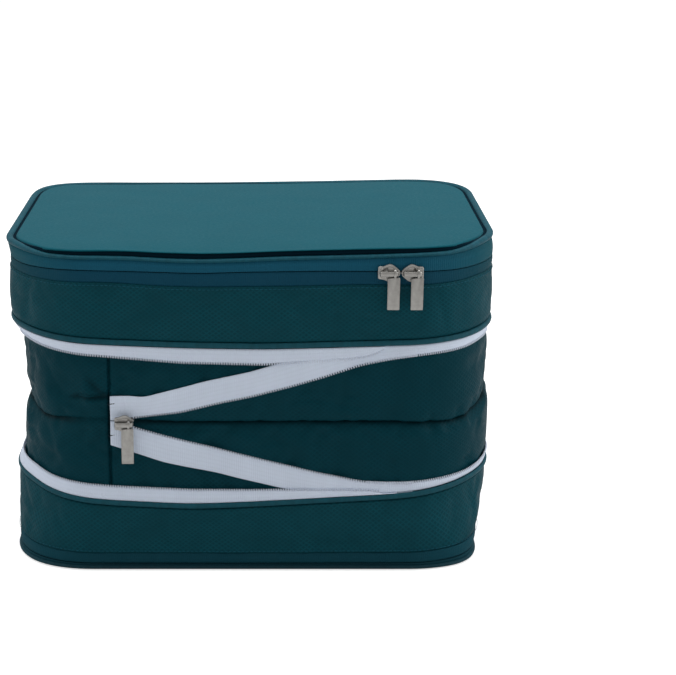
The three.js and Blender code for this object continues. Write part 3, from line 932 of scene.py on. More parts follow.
# Folded tapes over the raw seams inside: object, low and high edge, inset, body, node, seed
for name, low, high, inset, body, node, seed in (
        ("top_lid_seam_tape", 191.0, 193.2, 6.6, "top_lid", "top_lid_seam_binding", 11),
        ("upper_zip_seam_tape", 176.4, 183.6, 5.2, "upper_shell", "upper_zip_binding", 12),
        ("upper_seam_tape", 141.8, 152.0, 5.4, "upper_shell", "upper_seam_binding", 13),
        ("lower_seam_tape", 41.6, 52.6, 5.4, "lower_shell", "lower_seam_binding", 14),
        ("lower_zip_seam_tape", 11.4, 18.6, 5.2, "lower_shell", "lower_zip_binding", 15),
        ("bottom_lid_seam_tape", 3.4, 5.2, 6.2, "bottom_lid", "bottom_lid_seam_binding", 16)):
    place(cord(name, inset + 0.25 * wander(30, seed),
               (low + high) / 2 + 0.3 * wander(40, seed + 2, z=5.0),
               0.55, (high - low) / 2, 12, MAT["binding"]), body, "binding", node)

# ------------------------------------------------------------------ bottom lid
# flattened by the weight on it
place(pad("bottom_panel_cushion", 3.8, 0.15, 2.2, crown=0.0, edge_r=1.0, mat=MAT["panel"],
          up=False, seed=6, bump=0.0), "bottom_lid", "lid_panel", "bottom_panel")
place(pad("bottom_foam_sheet", 9.4, 3.6, 2.4, crown=0.0, edge_r=0.6, mat=MAT["foam"],
          bump=0.0), "bottom_lid", "foam", "bottom_panel_foam")
place(pad("bottom_lid_lining", 8.2, 4.3, 3.8, crown=0.7, edge_r=0.3, mat=MAT["lining"],
          seed=8, bump=0.4), "bottom_lid", "lining", "bottom_panel_lining")
place(cord("bottom_rim_cord", 2.0, 1.35, 2.3, 1.3, 16, MAT["low_rim"]),
      "bottom_lid", "rim", "bottom_rim_roll")
zip_tape("bottom_lid_tape", 2.2 + 0 * AROUND, LOW_SLIT(AROUND) - ZIP_GAP, (1.3, 0.8),
         belly=0.2, rows=5, mat=MAT["low_tape"], body="bottom_lid", node="bottom_lid_zip_tape")
zip_tape("lower_shell_tape", LOW_SLIT(AROUND) + ZIP_GAP, LOW_SEAM(AROUND) + 0.9, (0.8, 1.2),
         belly=0.3, rows=8, mat=MAT["low_shell_tape"], body="lower_shell",
         node="lower_zip_tape")
coil_row("bottom_lid_coil", LOW_SLIT, -0.75, "bottom_lid", "bottom_lid_zip_coil")
coil_row("lower_shell_coil", LOW_SLIT, 0.75, "lower_shell", "lower_zip_coil")

# ------------------------------------------------------------------ walls
PIPING_ROOM = 4.2  # from a white tape's sewn edge to the wall
WALL_GAP = 0.35  # from a zip seam to the wall
WALL_SHARE = np.linspace(0, 1, 30)  # rows from low to high
FINE_SHARE = WALL_SHARE
COARSE_SHARE = np.linspace(0, 1, 11)


def corner_weight(arc):
    """1 on the upright corners, 0 on the flats."""
    arc = np.abs(wrap(arc))
    return np.maximum(bell(arc - HALF_X - CORNER_ARC / 2, 42, 4),
                      bell(arc - HALF_X - CORNER_ARC * 1.5 - 2 * HALF_Y, 42, 4))


def wall_grid(arc, low, high, share, seed, bow=0.9, dents=0.7):
    """Inset and height of a wall: slightly bowed, with soft dents, and upright folds at the
    corners."""
    low_z, high_z = low(arc)[:, None], high(arc)[:, None]
    z = low_z + (high_z - low_z) * share
    arc = arc[:, None]
    points = on_path(arc, 1.0, z)
    hold = np.sin(math.pi * clip01((z - low_z) / (high_z - low_z))) ** 0.7
    inset = 1.35 - bow * hold
    inset = inset + dents * hold * fbm(points, 46, 3, seed, (1, 1, 0.8))
    fold = folds(points, 30, seed + 2, (1, 1, 2.4), 2.0) - 0.35
    inset = inset + hold * corner_weight(arc) * 1.0 * fold
    fold = folds(points, 34, seed + 5, (2.2, 2.2, 0.8), 3.0) - 0.2
    return inset + hold * 0.35 * fold, z


def wall_face(low, high, seed, zip_line, roll, tuck, **shape):
    """A wall's outer face. Along the zip the cloth is turned over: it swells by roll, then
    goes in by tuck."""
    inset, z = wall_grid(WALL_ARC, low, high, WALL_SHARE, seed, **shape)
    pin = np.zeros((len(CLOTH_ARC), len(COARSE_SHARE)))
    pin[:, [0, -1]] = 1.0
    relief = cloth_relief(CLOTH_ARC, *wall_grid(CLOTH_ARC, low, high, COARSE_SHARE, seed), pin,
                          pressure=1.5, shrink=-0.03, cap=2.2)
    inset = inset + resample(COARSE_SHARE, 0.4 * relief, WALL_ARC, WALL_SHARE)
    away = np.abs(z - zip_line(WALL_ARC)[:, None])
    return inset - roll * bell(away - 1.6, 1.3) + tuck * np.exp(-away / 0.5), z


def wall_v(height, inner_count):
    """UV heights: out over the face, then on over the inner rows."""
    return np.concatenate([WALL_SHARE * height,
                           height + np.linspace(0, 1, inner_count) * height])


def upper_low(arc):
    return UP_TOP(arc) + PIPING_ROOM


def upper_high(arc):
    return SEAM(arc) - WALL_GAP


def lower_low(arc):
    return LOW_SEAM(arc) + WALL_GAP


def lower_high(arc):
    return DOWN_LOW(arc) - PIPING_ROOM


inset, z = wall_face(upper_low, upper_high, 2.0, upper_high, roll=0.45, tuck=1.1)
inset, z = slab_profile(inset, z, 0.7, 6)
place(ring("upper_wall_cloth", WALL_ARC, inset, z, MAT["wall"], row_v=wall_v(34, 7)),
      "upper_shell", "ripstop", "upper_wall")

inset, z = wall_face(lower_low, lower_high, 21.0, lower_low, roll=0.4, tuck=1.0,
                     bow=0.7, dents=0.8)
# hollows in the left and right ends
inset = inset + 1.6 * bell(wrap(WALL_ARC) + 200, 60)[:, None] * np.sin(math.pi * WALL_SHARE)
inset = inset + 1.4 * bell(wrap(WALL_ARC) - 190, 60)[:, None] * (1 - WALL_SHARE) ** 0.5
# its seam allowance goes on behind the zip tape
flap = (np.maximum(inset[:, 0], 2.2) + 0.05)[:, None]
flap_z = lower_low(WALL_ARC)[:, None] - 2.2
inset, z = slab_profile(inset, z, 0.7, 6)
place(ring("lower_wall_cloth", WALL_ARC, np.concatenate([inset, flap + 0.6, flap], 1),
           np.concatenate([z, flap_z, flap_z], 1), MAT["wall"], row_v=wall_v(30, 9)),
      "lower_shell", "ripstop", "lower_wall")

# linings hang inside the walls: level, low and high edge, seed
for level, low, high, seed in (("upper", 149.6, 180.2, 31.0), ("lower", 14.8, 44.6, 33.0)):
    share = np.linspace(0, 1, 10)
    z = low + (high - low) * share[None] + 0 * AROUND[:, None]
    dents = fbm(on_path(AROUND[:, None], 3.0, z), 30, 3, seed)
    inset = 3.3 + np.sin(math.pi * share) * (0.9 + 0.8 * dents)
    inset, z = slab_profile(inset, z, 0.4, 4)
    place(ring(f"{level}_wall_lining_cloth", AROUND, inset, z, MAT["lining"]),
          f"{level}_shell", "lining", f"{level}_wall_lining")

# piping, with a narrow dark seam between it and the wall: level, centre line, seed
for level, line, seed in (("upper", UP_TOP(AROUND) + 2.0, 41),
                          ("lower", DOWN_LOW(AROUND) - 2.0, 43)):
    place(cord(f"{level}_piping_cord", 1.5, line + 0.1 * wander(14, seed), 1.35, 1.75, 14,
               MAT["piping"]), f"{level}_shell", "piping", f"{level}_piping")

# ------------------------------------------------------------------ white tape loops
# Each loop starts at the front right and comes back under its own start.
LOOP_START, LOOP_END = 90.0, 72.0 - GIRTH
TAIL_LENGTH = 330
TOOTH_PITCH = 1.5


def loop_layer(arc):
    """The tail lies one layer further in."""
    return 1.0 + 1.25 * clip01((LOOP_END + 260 - arc) / 200)


def loop_edge(lines, arc):
    """Height of an edge from its (front, tail) lines."""
    return np.where(arc < LOOP_END + TAIL_LENGTH, lines[1](arc), lines[0](arc))


def loop(level, tops, lows, lean, free_up):
    """A white tape and its teeth; free_up says whether the upper edge is the free one."""
    name, body = f"{level}_loop_tape", f"{level}_shell"
    arc = np.linspace(LOOP_END, LOOP_START, int((LOOP_START - LOOP_END) / 1.6) + 1)
    low, high = loop_edge(lows, arc), loop_edge(tops, arc)
    sewn = loop_layer(arc)
    free = sewn + lean(arc)
    if free_up:
        insets = sewn, free
        high = high - 1.2
    else:
        insets = free, sewn
        low = low + 1.2
    inset, z = tape_profile(arc, low, np.maximum(high, low + 0.3), *insets, rows=8,
                            belly=0.35, thick=0.8, seed=51, wave=0.2)
    place(ring(name, arc, inset, z, MAT["white"], closed=False), body, "white_tape",
          f"{level}_compression_tape")
    arc = np.arange(LOOP_END, LOOP_START, TOOTH_PITCH)
    arc = arc[(loop_edge(tops, arc) - loop_edge(lows, arc)) > 2.0]
    z = loop_edge(tops, arc) - 0.9 if free_up else loop_edge(lows, arc) + 0.9
    normals = outward(arc)
    axis = upright(len(arc))
    axis[:, :2] = normals[:, :2] * (lean(arc) / 9)[:, None] * (1 if free_up else -1)
    axis /= np.linalg.norm(axis, axis=1)[:, None]
    place(scatter(name + "_teeth", on_path(arc, loop_layer(arc) + lean(arc) + 0.05, z), axis,
                  normals, (1.05, TOOTH_PITCH * 0.31, 0.5), MAT["teeth"]),
          body, "white_teeth", f"{level}_compression_teeth")


loop("upper", (UP_TOP, UP_TOP), (UP_LOW_FRONT, UP_LOW_TAIL), UP_LEAN, free_up=False)
loop("lower", (DOWN_TOP_FRONT, DOWN_TOP_TAIL), (DOWN_LOW, DOWN_LOW), DOWN_LEAN, free_up=True)

# ------------------------------------------------------------------ bellows
# Insets of the bellows at these arcs: top edge, upper lobe, crease, lower lobe, bottom edge
BELLOWS_ARC = [-472, -330, -235, -180, -140, -110, -84, -40, 0, 40, 84, 110, 140, 180, 235, 330]
TOP_IN, UPPER_IN, CREASE_IN, LOWER_IN, BOTTOM_IN = (
    table(list(zip(BELLOWS_ARC, insets))) for insets in (
        [4.6, 6.4, 8.4, 8.2, 6.4, 4.4, 3.6, 3.6, 3.6, 3.6, 4.2, 4.8, 5.6, 6.0, 6.0, 5.6],
        [3.4, 5.5, 10.6, 10.8, 8.0, 5.0, 4.1, 3.6, 3.6, 3.6, 3.6, 3.7, 4.6, 5.2, 5.2, 4.0],
        [10.0, 11, 14.2, 14.0, 11.4, 8.6, 7.4, 10.0, 10.6, 10.8, 11.2, 11.4, 10.8, 9.2, 8.4, 9.6],
        [2.6, 4.5, 9.8, 9.2, 5.6, 4.0, 3.9, 3.9, 4.0, 3.8, 3.2, 2.2, 0.8, 0.2, 0.6, 2.4],
        [3.6, 4.4, 5.8, 5.5, 4.3, 3.4, 3.2, 3.4, 3.4, 3.4, 3.6, 4.0, 4.2, 4.2, 4.2, 4.2]))
# (arc, height) of the crease
CREASE_Z = table([
    (-472, 97), (-330, 96), (-235, 101), (-180, 101.5), (-164, 100.6), (-150, 98.2),
    (-143, 96.4), (-135, 95.7), (-121, 96.2), (-105, 96.2), (-84, 96.4), (0, 97), (55, 97.5),
    (91, 97.4), (119, 95.9), (131, 95.4), (140, 96.4), (154, 98.8), (165, 102), (185, 107),
    (235, 107), (330, 99)], 3.0)
# (arc, 0 to 1): how hard the fold between the two lobes is
HARDNESS = table([
    (-472, 0.8), (-330, 0.9), (-235, 1.0), (-180, 1.0), (-135, 1.0), (-114, 0.8),
    (-103, 0.15), (-84, 0.1), (-68, 0.7), (-50, 1.0), (0, 1.0), (60, 1.0), (235, 1.0),
    (330, 0.9)], 6.0)
UPRIGHT_SEAM = -84.4  # arc of the upright seam at the front left
# Furrows (+) and ridges (-): (arc, height) points, width, depth. The first two also get painted
# shade.
FURROWS = [
    ([(-84, 110.0), (-93, 109.8), (-103, 110.4), (-110, 108.6)], 1.5, 1.9),
    ([(-85, 110.5), (-90, 113.5), (-95, 118.5), (-98, 122)], 1.9, 1.2),
    ([(-85, 104.0), (-95, 103.5), (-106, 105)], 2.4, 0.7),
    ([(-87, 106.8), (-96, 106.6), (-106, 107.4)], 2.2, -0.7),
    ([(-87, 114.0), (-98, 112.6), (-110, 113.5)], 2.6, -0.6),
    ([(-86, 84.0), (-96, 80.0), (-108, 70)], 2.6, 0.8),
    ([(60, 93), (74, 86), (86, 79)], 3.0, 0.7),
    ([(104, 92), (112, 80), (118, 66)], 3.4, 0.8),
]


def furrow_line(arc, z, points, width, depth):
    """A furrow along a polyline in (arc, z), fading at its ends."""
    best = np.full(np.shape(arc), 1e9)
    fade = np.zeros(np.shape(arc))
    total = sum(math.dist(a, b) for a, b in zip(points, points[1:]))
    run = 0.0
    for (arc0, z0), (arc1, z1) in zip(points, points[1:]):
        square = (arc1 - arc0) ** 2 + (z1 - z0) ** 2
        part = clip01(((arc - arc0) * (arc1 - arc0) + (z - z0) * (z1 - z0)) / square)
        gap = np.hypot(arc - arc0 - part * (arc1 - arc0), z - z0 - part * (z1 - z0))
        along = clip01((run + part * math.sqrt(square)) / total * 0.96 + 0.02)
        fade = np.where(gap < best, np.sin(math.pi * along) ** 0.5, fade)
        best = np.minimum(best, gap)
        run += math.sqrt(square)
    return depth * fade * bell(best, width, 1.6)


def bellows_edge(front_line, tail_line):
    return np.where(np.abs(wrap(AROUND)) < 84, front_line(AROUND), tail_line(AROUND))


EDGE_LOW = table(np.stack([AROUND, np.minimum(
    bellows_edge(DOWN_TOP_FRONT, DOWN_TOP_TAIL) - 3.5, 58.0)], 1), 6.0)
EDGE_HIGH = table(np.stack([AROUND, np.maximum(
    bellows_edge(UP_LOW_FRONT, UP_LOW_TAIL) + 3.5, 134.0)], 1), 6.0)


def bellows_grid(arc, low_share, high_share):
    """Inset and height of the two lobes, and each point's share of the whole height."""
    arc = arc[:, None]
    bottom, top, crease = EDGE_LOW(arc), EDGE_HIGH(arc), CREASE_Z(arc)
    z = np.concatenate([bottom + (crease - bottom) * low_share,
                        crease + 0.25 + (top - crease - 0.25) * high_share], 1)
    up = clip01((z - crease) / (top - crease))
    down = clip01((crease - z) / (crease - bottom))
    upper = UPPER_IN(arc) + (TOP_IN(arc) - UPPER_IN(arc)) * up**3
    lower = LOWER_IN(arc) + (BOTTOM_IN(arc) - LOWER_IN(arc)) * down**4.5
    # each lobe is fullest away from its edges
    upper = upper - 1.4 * np.sin(math.pi * up**0.75) ** 1.2
    lower = lower - 1.2 * np.sin(math.pi * down**0.8) ** 1.2
    hard, depth = HARDNESS(arc), CREASE_IN(arc)
    pull = 0.3 + 0.7 * hard
    above, below = np.maximum(z - crease, 0), np.maximum(crease - z, 0)
    upper = upper + (depth - upper) * pull * bell(above, 0.9 + 5.0 * (1 - hard), 1.15)
    lower = lower + (depth - lower) * pull * bell(below, 4.6 + 3.0 * (1 - hard), 0.95)
    return np.where(z >= crease, upper, lower), z, clip01((z - bottom) / (top - bottom))


# stations are closer at the upright seam
BELLOWS = stations(1.6)
BELLOWS = np.unique(np.concatenate([BELLOWS[np.abs(BELLOWS - UPRIGHT_SEAM) > 5.0],
                                    UPRIGHT_SEAM + np.arange(-5, 5.01, 0.5)]))
low_share = np.linspace(0, 1, 40) ** 0.72
high_share = np.linspace(0, 1, 46) ** 1.6
inset, z, share = bellows_grid(BELLOWS, low_share, high_share)
arc = BELLOWS[:, None] + 0 * z
crease = CREASE_Z(BELLOWS)[:, None]
hard = HARDNESS(arc)

# The cloth itself: held along its edges, the fold and the upright seam, a little too long,
# and pushed out from inside.
coarse_low, coarse_high = np.linspace(0, 1, 11), np.linspace(0, 1, 12)
coarse_inset, coarse_z, _ = bellows_grid(CLOTH_ARC, coarse_low, coarse_high)
coarse_inset = coarse_inset + 0.5 * fbm(on_path(CLOTH_ARC[:, None], 3.0, coarse_z), 20, 2, 60)
pin = np.zeros(coarse_z.shape)
pin[:, [0, -1]] = 1.0
pin[:, [10, 11]] = 0.9
pin[np.abs(CLOTH_ARC - UPRIGHT_SEAM) < 3] = 0.7
relief = cloth_relief(CLOTH_ARC, coarse_inset, coarse_z, pin,
                      pressure=2.0, shrink=-0.045, cap=3.5)
inset = inset + resample(np.concatenate([coarse_low, 1.02 + coarse_high]),
                         np.clip(0.62 * relief, -1.3, 1.8), BELLOWS,
                         np.concatenate([low_share, 1.02 + high_share]))

# broad and fine dents, upright folds, level folds
points = on_path(arc, 3.0, z)
hold = clip01(np.minimum(share, 1 - share) / 0.12)
inset = inset + hold * (0.8 * fbm(points, 52, 3, 61) + 0.35 * fbm(points, 17, 3, 62))
fold = folds(points, 34, 63, (1, 1, 2.4), 2.0) - 0.3
inset = inset + hold * (0.45 + 0.85 * corner_weight(arc)) * fold
inset = inset + hold * 0.55 * (folds(points, 24, 65, (2.6, 2.6, 0.7), 2.6) - 0.2)
# puckers where the cloth is gathered at the fold
pucker = np.sin(arc / 2.1 + 2.0 * noise_at(arc / 9, 0, 3))
inset = inset + 0.14 * pucker * np.exp(-np.abs(z - crease) / 3.0) * clip01(hard - 0.4)
# slanting folds at the front corners: side, arc, depth
below = clip01((crease - z) / 4)
for side, centre, depth in ((1, 140, 1.25), (-1, -150, 0.5)):
    slant = np.sin(((arc - centre) - side * 0.42 * (z - 80)) / 4.6
                   + 1.4 * noise_at(arc / 16, z / 24, side))
    inset = inset + depth * slant * bell(arc - centre - side * 8, 30, 4) * below * hold
# the first two furrows also set where shade is painted in the cloth's colour
furrow = sum(furrow_line(arc, z, *line) for line in FURROWS[:2])
inset = inset + furrow
for line in FURROWS[2:]:
    inset = inset + furrow_line(arc, z, *line)
# the upright seam, where the ends of the lead tapes are caught: offset, width, depth
for offset, width, depth in ((0, 0.7, 2.4), (-2.6, 1.8, -0.6), (2.4, 1.6, -0.25)):
    inset = inset + depth * bell(wrap(arc) - UPRIGHT_SEAM - offset, width)
# the cloth stays behind the white tapes: a soft lower limit on its inset
around = wrap(arc)
deeper = 1.6 * clip01((330 - around) / 200) * clip01((around - 60) / 25)
outer = bell(around - 205, 55, 4)
inner = clip01((around - 60) / 20) * clip01((175 - around) / 25)
bound = np.where(z > crease, 1.8 + deeper, 1.8 - 0.5 * outer + 0.75 * inner)
inset = bound + 0.5 * np.logaddexp(0, (inset - bound) / 0.5)
BELLOWS_INSET, BELLOWS_Z = inset, z
# the upper lobe hangs over the fold
above = np.maximum(z - crease, 0)
droop = 1.02 + 0.28 * noise_at(arc / 11, 0, 9) + 0.16 * noise_at(arc / 4.3, 0, 4)
z = z - 3.1 * droop * hard * (above / 1.3) * np.exp(1 - above / 1.3) * (above > 0.3)
# its edges run on behind the white tapes into the two seams
HEM_INSET = 3.75
step = np.array([0.4, 0.8, 1.0])[None]
high_in, high_z, low_in, low_z = inset[:, -1:], z[:, -1:], inset[:, :1], z[:, :1]
high_hem, low_hem = np.maximum(high_z + 0.5, 144.6), np.minimum(low_z - 4.0, 50.8)
inset = np.concatenate([low_in + (HEM_INSET - low_in) * step[:, ::-1], inset,
                        high_in + (HEM_INSET - high_in) * step], 1)
z = np.concatenate([low_z + (low_hem - low_z) * step[:, ::-1], z,
                    high_z + (high_hem - high_z) * step], 1)
row_v = np.concatenate([z.mean(0) - 45, 95 + np.linspace(0, 1, 41) * 92])
bellows = ring("gusset_band", BELLOWS, *slab_profile(inset, z, 0.6, 40), MAT["gusset"],
               row_v=row_v)

# painted shade: the cloth is darker down in the fold and the first furrows, where shade falls
under = crease - BELLOWS_Z
shadow = np.where(under > 0, bell(np.maximum(under - 2.3, 0), 1.5),
                  bell(np.maximum(-under - 0.5, 0), 0.8)) * hard
shadow = np.maximum(shadow, clip01(furrow / 1.7) * 0.8)
shadow = np.concatenate([0 * shadow[:, :3], shadow, 0 * shadow[:, :43]], 1)
attribute = bellows.data.attributes.new("fold", "FLOAT", "POINT")
attribute.data.foreach_set("value", np.ascontiguousarray(shadow.reshape(-1)))
place(bellows, "lower_shell", "gusset_cloth", "gusset",
      squash=("compression", (0, 0, 1), (0, 0, 0.054), 0.17))


def bellows_inset(arc, z):
    """Inset of the bellows at arc (n,) and z (n, rows), by nearest station."""
    near = np.clip(np.searchsorted(BELLOWS, wrap(arc) - 0.5), 0, len(BELLOWS) - 1)
    return np.stack([np.interp(row, BELLOWS_Z[i], BELLOWS_INSET[i])
                     for i, row in zip(near, z)])


# ------------------------------------------------------------------ lead tapes
# White tapes slanting across the front from the slider to the loops: (arc, height)
UPPER_LEAD_TOP = [
    (-84, 111.2), (-71, 111.9), (-64, 110.8), (-57, 113.0), (-42, 117.0), (-27, 121.3),
    (-14, 124.2), (0, 127.3), (10, 130.4), (40, 140.0), (60, 144.0), (100, 145.0)]
UPPER_LEAD_TEETH = [
    (-84, 95.5), (-77, 95.5), (-73, 96.2), (-69, 97.2), (-42, 101.0), (-18, 107.4), (0, 111.2),
    (25, 118.0), (42, 123.2), (66, 131.3), (82, 134.6), (100, 137.2)]
LOWER_LEAD_TEETH = [
    (-84, 95.2), (-77, 95.0), (-73, 93.4), (-69, 91.6), (-51.5, 87.0), (-18, 78.6),
    (42, 63.3), (60, 59.3), (72, 57.3), (88, 56.7), (104, 57.2)]
LOWER_LEAD_BOTTOM = [
    (-84, 80.2), (-70, 75.7), (-51.6, 69.6), (-18, 62.2), (25, 51.4), (44, 48.6), (104, 48.0)]
LEAD_END = 100.0


def smooth_line(points, arc):
    """A smoothed line through roughly these points, carried on straight at its ends."""
    points = np.array(points, float)
    grid = np.arange(points[0, 0] - 30, points[-1, 0] + 30, 1.0)
    line = np.interp(grid, points[:, 0], points[:, 1])
    for end, near, beyond in ((0, 1, grid < points[0, 0]), (-1, -2, grid > points[-1, 0])):
        slope = (points[near, 1] - points[end, 1]) / (points[near, 0] - points[end, 0])
        line = np.where(beyond, points[end, 1] + slope * (grid - points[end, 0]), line)
    line = np.convolve(np.pad(line, 20, "edge"), gauss_kernel(20, 3.0), "valid")
    return np.interp(arc, grid, line)


def lead_squash(anchor):
    """Settings for a squash towards a shell's seam at this height; place only gives the piece its
    own mesh.
    """
    return "compression", (0, 0, 1), (0, 0, anchor * MM), 0.27


def shifted(rows, reach):
    """The rows, moved along by each step from -reach to reach, with their ends repeated."""
    padded = np.pad(rows, ((reach, reach), (0, 0)), "edge")
    return [padded[j:j + len(rows)] for j in range(2 * reach + 1)]


def lead(level, low_points, high_points, teeth_low, anchor):
    arc = np.linspace(-83.9, LEAD_END, 150)
    low, high = smooth_line(low_points, arc), smooth_line(high_points, arc)
    high = np.maximum(high, low + 2)
    share = np.linspace(0, 1, 12)
    z = low[:, None] + (high - low)[:, None] * share
    # pressed lightly on the cloth, but taut: never deeper than the run of the tape allows
    taut = np.interp(arc, [UPRIGHT_SEAM, -76, -60, 0, 60, LEAD_END],
                     [4.2, 3.4, 2.9, 2.6, 2.5, 2.5])
    inset = np.minimum(bellows_inset(arc, z) - 1.05, taut[:, None])
    inset = np.min(shifted(inset, 4), axis=0)
    inset = sum(w * rows for w, rows in zip(gauss_kernel(14, 5.0), shifted(inset, 14)))
    inset = inset - 0.25 * np.sin(math.pi * share)
    # left of the slider the zip is still closed
    margin = 0.15 + 1.1 * clip01((arc + 77) / 6)
    if teeth_low:
        teeth_z = low + 0.95
        z = np.maximum(z, (low + margin)[:, None])
    else:
        teeth_z = high - 0.95
        z = np.minimum(z, (high - margin)[:, None])
    name, body, squash = f"{level}_lead", f"{level}_shell", lead_squash(anchor)
    place(ring(name, arc, np.concatenate([inset, inset[:, ::-1] + 0.75], 1),
               np.concatenate([z, z[:, ::-1]], 1), MAT["white"], closed=False),
          body, "white_tape", f"{level}_lead_tape", squash=squash)
    teeth = np.arange(-70.0, LEAD_END, TOOTH_PITCH)
    teeth_z = np.interp(teeth, arc, teeth_z)
    teeth_inset = np.interp(teeth, arc, inset[:, 0 if teeth_low else -1]) + 0.1
    slope = np.gradient(teeth_z, teeth)
    axis = np.stack([-slope, 0 * slope, 1 + 0 * slope], -1)
    axis /= np.linalg.norm(axis, axis=1)[:, None]
    place(scatter(name + "_teeth", on_path(teeth, teeth_inset, teeth_z), axis, outward(teeth),
                  (1.05, 0.47, 0.5), MAT["teeth"]), body, "white_teeth", squash=squash)


UPPER_ANCHOR, LOWER_ANCHOR = 145.2, 49.0
lead("upper", UPPER_LEAD_TEETH, UPPER_LEAD_TOP, True, UPPER_ANCHOR)
lead("lower", LOWER_LEAD_BOTTOM, LOWER_LEAD_TEETH, False, LOWER_ANCHOR)

# small tacks where the lead ends are caught in the upright seam
for level, height, anchor in (("upper", 106.4, UPPER_ANCHOR), ("lower", 86.4, LOWER_ANCHOR)):
    tacks = np.array([-84.6, -83.2, -81.6])
    place(scatter(f"{level}_lead_tack", on_path(tacks, 2.4, height + 0.12 * (tacks + 84)),
                  np.tile([0.995, 0.0, 0.1], (3, 1)), np.tile([0.0, -1.0, 0.0], (3, 1)),
                  (1.0, 0.42, 0.35), MAT["dark"]),
          f"{level}_shell", "binding", squash=lead_squash(anchor))

# ------------------------------------------------------------------ divider
place(pad("divider_sheet", 13.6, MID + 0.45, MID - 0.45, crown=-1.2, edge_r=0.4,
          mat=MAT["divider"], seed=71, bump=0.9), "divider", "divider_mesh", "divider_panel")
place(cord("divider_edge_tape", 12.3, MID + 0.2 * wander(30, 72), 1.1, 0.95, 12,
           MAT["binding"]), "divider", "binding", "divider_edge_binding")


# ------------------------------------------------------------------ seam stitches
def stitch_line(level, line, shift):
    """Stitches round the cube, shift above a line."""
    arc = np.arange(-GIRTH / 2, GIRTH / 2, 2.6)
    centres, ahead = (on_path(a, 0.45, line(a) + shift) for a in (arc, arc + 0.5))
    tangents = ahead - centres
    tangents /= np.linalg.norm(tangents, axis=1)[:, None]
    place(scatter(f"{level}_zip_stitches", centres, tangents, outward(arc), (0.95, 0.2, 0.2),
                  MAT["thread"]), f"{level}_shell", "zip_tape")


stitch_line("upper", SEAM, -2.6)
stitch_line("lower", LOW_SEAM, 2.4)

# ------------------------------------------------------------------ cloth hinges at the back
for end, height in (("top", TOP_ZIP), ("bottom", BOTTOM_ZIP)):
    x = np.linspace(-75, 75, 76)
    sides = 14
    angle = np.linspace(0, 2 * math.pi, sides, endpoint=False)
    fade = np.clip((75.6 - np.abs(x)) / 14.0, 0.06, 1)[:, None] ** 0.5
    y = 110.4 + 1.3 * np.cos(angle) * fade + 0.12 * noise_at(x / 9, height, 0)[:, None]
    z = height + 1.7 * np.sin(angle) * fade
    verts = np.stack([x[:, None] + 0 * y, y, z], -1).reshape(-1, 3)
    faces = grid_faces(len(x), sides, False, True)[0][:, ::-1].tolist()
    faces += [range(sides), [(len(x) - 1) * sides + k for k in range(sides - 1, -1, -1)]]
    uv = [(verts[i][0], i % sides) for face in faces for i in face]
    place(new_object(f"{end}_hinge_cloth", verts, faces, uv, MAT["hinge"]), f"{end}_lid",
          "hinge_cloth", f"{end}_hinge_fold")


# ------------------------------------------------------------------ sliders
# In its own frame a slider lies along X, its outer face towards -Y.
def metal_object(name, bm):
    mesh = bpy.data.meshes.new(name)
    bmesh.ops.recalc_face_normals(bm, faces=bm.faces)
    layer = bm.loops.layers.uv.new("UVMap")
    for face in bm.faces:
        for corner in face.loops:
            x, y, z = corner.vert.co
            corner[layer].uv = ((x + y) / UV_UNIT, z / UV_UNIT)
    bm.to_mesh(mesh)
    bm.free()
    mesh.transform(Matrix.Scale(MM, 4))
    mesh.polygons.foreach_set("use_smooth", [len(f.vertices) <= 4 for f in mesh.polygons])
    mesh.set_sharp_from_angle(angle=math.radians(40))
    ob = bpy.data.objects.new(name, mesh)
    bpy.context.scene.collection.objects.link(ob)
    mesh.materials.append(MAT["metal"])
    return ob


def prism(bm, outline, y0, y1, bevel, segments=3):
    """Outline in XZ from y0 to y1, with rounded edges."""
    near, far = ([bm.verts.new((x, y, z)) for x, z in outline] for y in (y0, y1))
    ends = [bm.faces.new(near), bm.faces.new(far[::-1])]
    count = len(outline)
    for i in range(count):
        j = (i + 1) % count
        bm.faces.new((near[i], far[i], far[j], near[j]))
    if bevel > 0:
        edges = {edge for face in ends for edge in face.edges}
        bmesh.ops.bevel(bm, geom=list(edges), offset=bevel, segments=segments, profile=0.5,
                        affect="EDGES")


def round_poly(points, radius):
    """Rounds the corners of a polygon."""
    rounded = []
    count = len(points)
    for i in range(count):
        before, here, after = (np.array(points[(i + k) % count], float) for k in (-1, 0, 1))
        back, ahead = before - here, after - here
        back_length, ahead_length = np.linalg.norm(back), np.linalg.norm(ahead)
        cut = min(radius, back_length * 0.45, ahead_length * 0.45)
        start, stop = here + back / back_length * cut, here + ahead / ahead_length * cut
        for t in np.linspace(0, 1, 4):
            rounded.append(tuple((1 - t) ** 2 * start + 2 * t * (1 - t) * here + t**2 * stop))
    return rounded


def signed_power(value, power):
    return math.copysign(abs(value) ** power, value)


def sweep(bm, points, widths, thick, sides):
    """Sweeps a rounded bar, wide in Z, along points in XY."""
    tangents = np.gradient(points, axis=0)
    tangents /= np.linalg.norm(tangents, axis=1)[:, None]
    normals = np.stack([-tangents[:, 1], tangents[:, 0]], -1)
    loops = []
    for point, normal, width in zip(points, normals, widths):
        section = []
        for k in range(sides):
            angle = 2 * math.pi * (k + 0.5) / sides
            x, y = point + normal * (thick / 2) * signed_power(math.cos(angle), 0.6)
            z = width / 2 * signed_power(math.sin(angle), 0.6)
            section.append(bm.verts.new((x, y, z)))
        loops.append(section)
    for first, second in zip(loops, loops[1:]):
        for k in range(sides):
            j = (k + 1) % sides
            bm.faces.new((first[k], first[j], second[j], second[k]))
    bm.faces.new(loops[0][::-1])
    bm.faces.new(loops[-1])


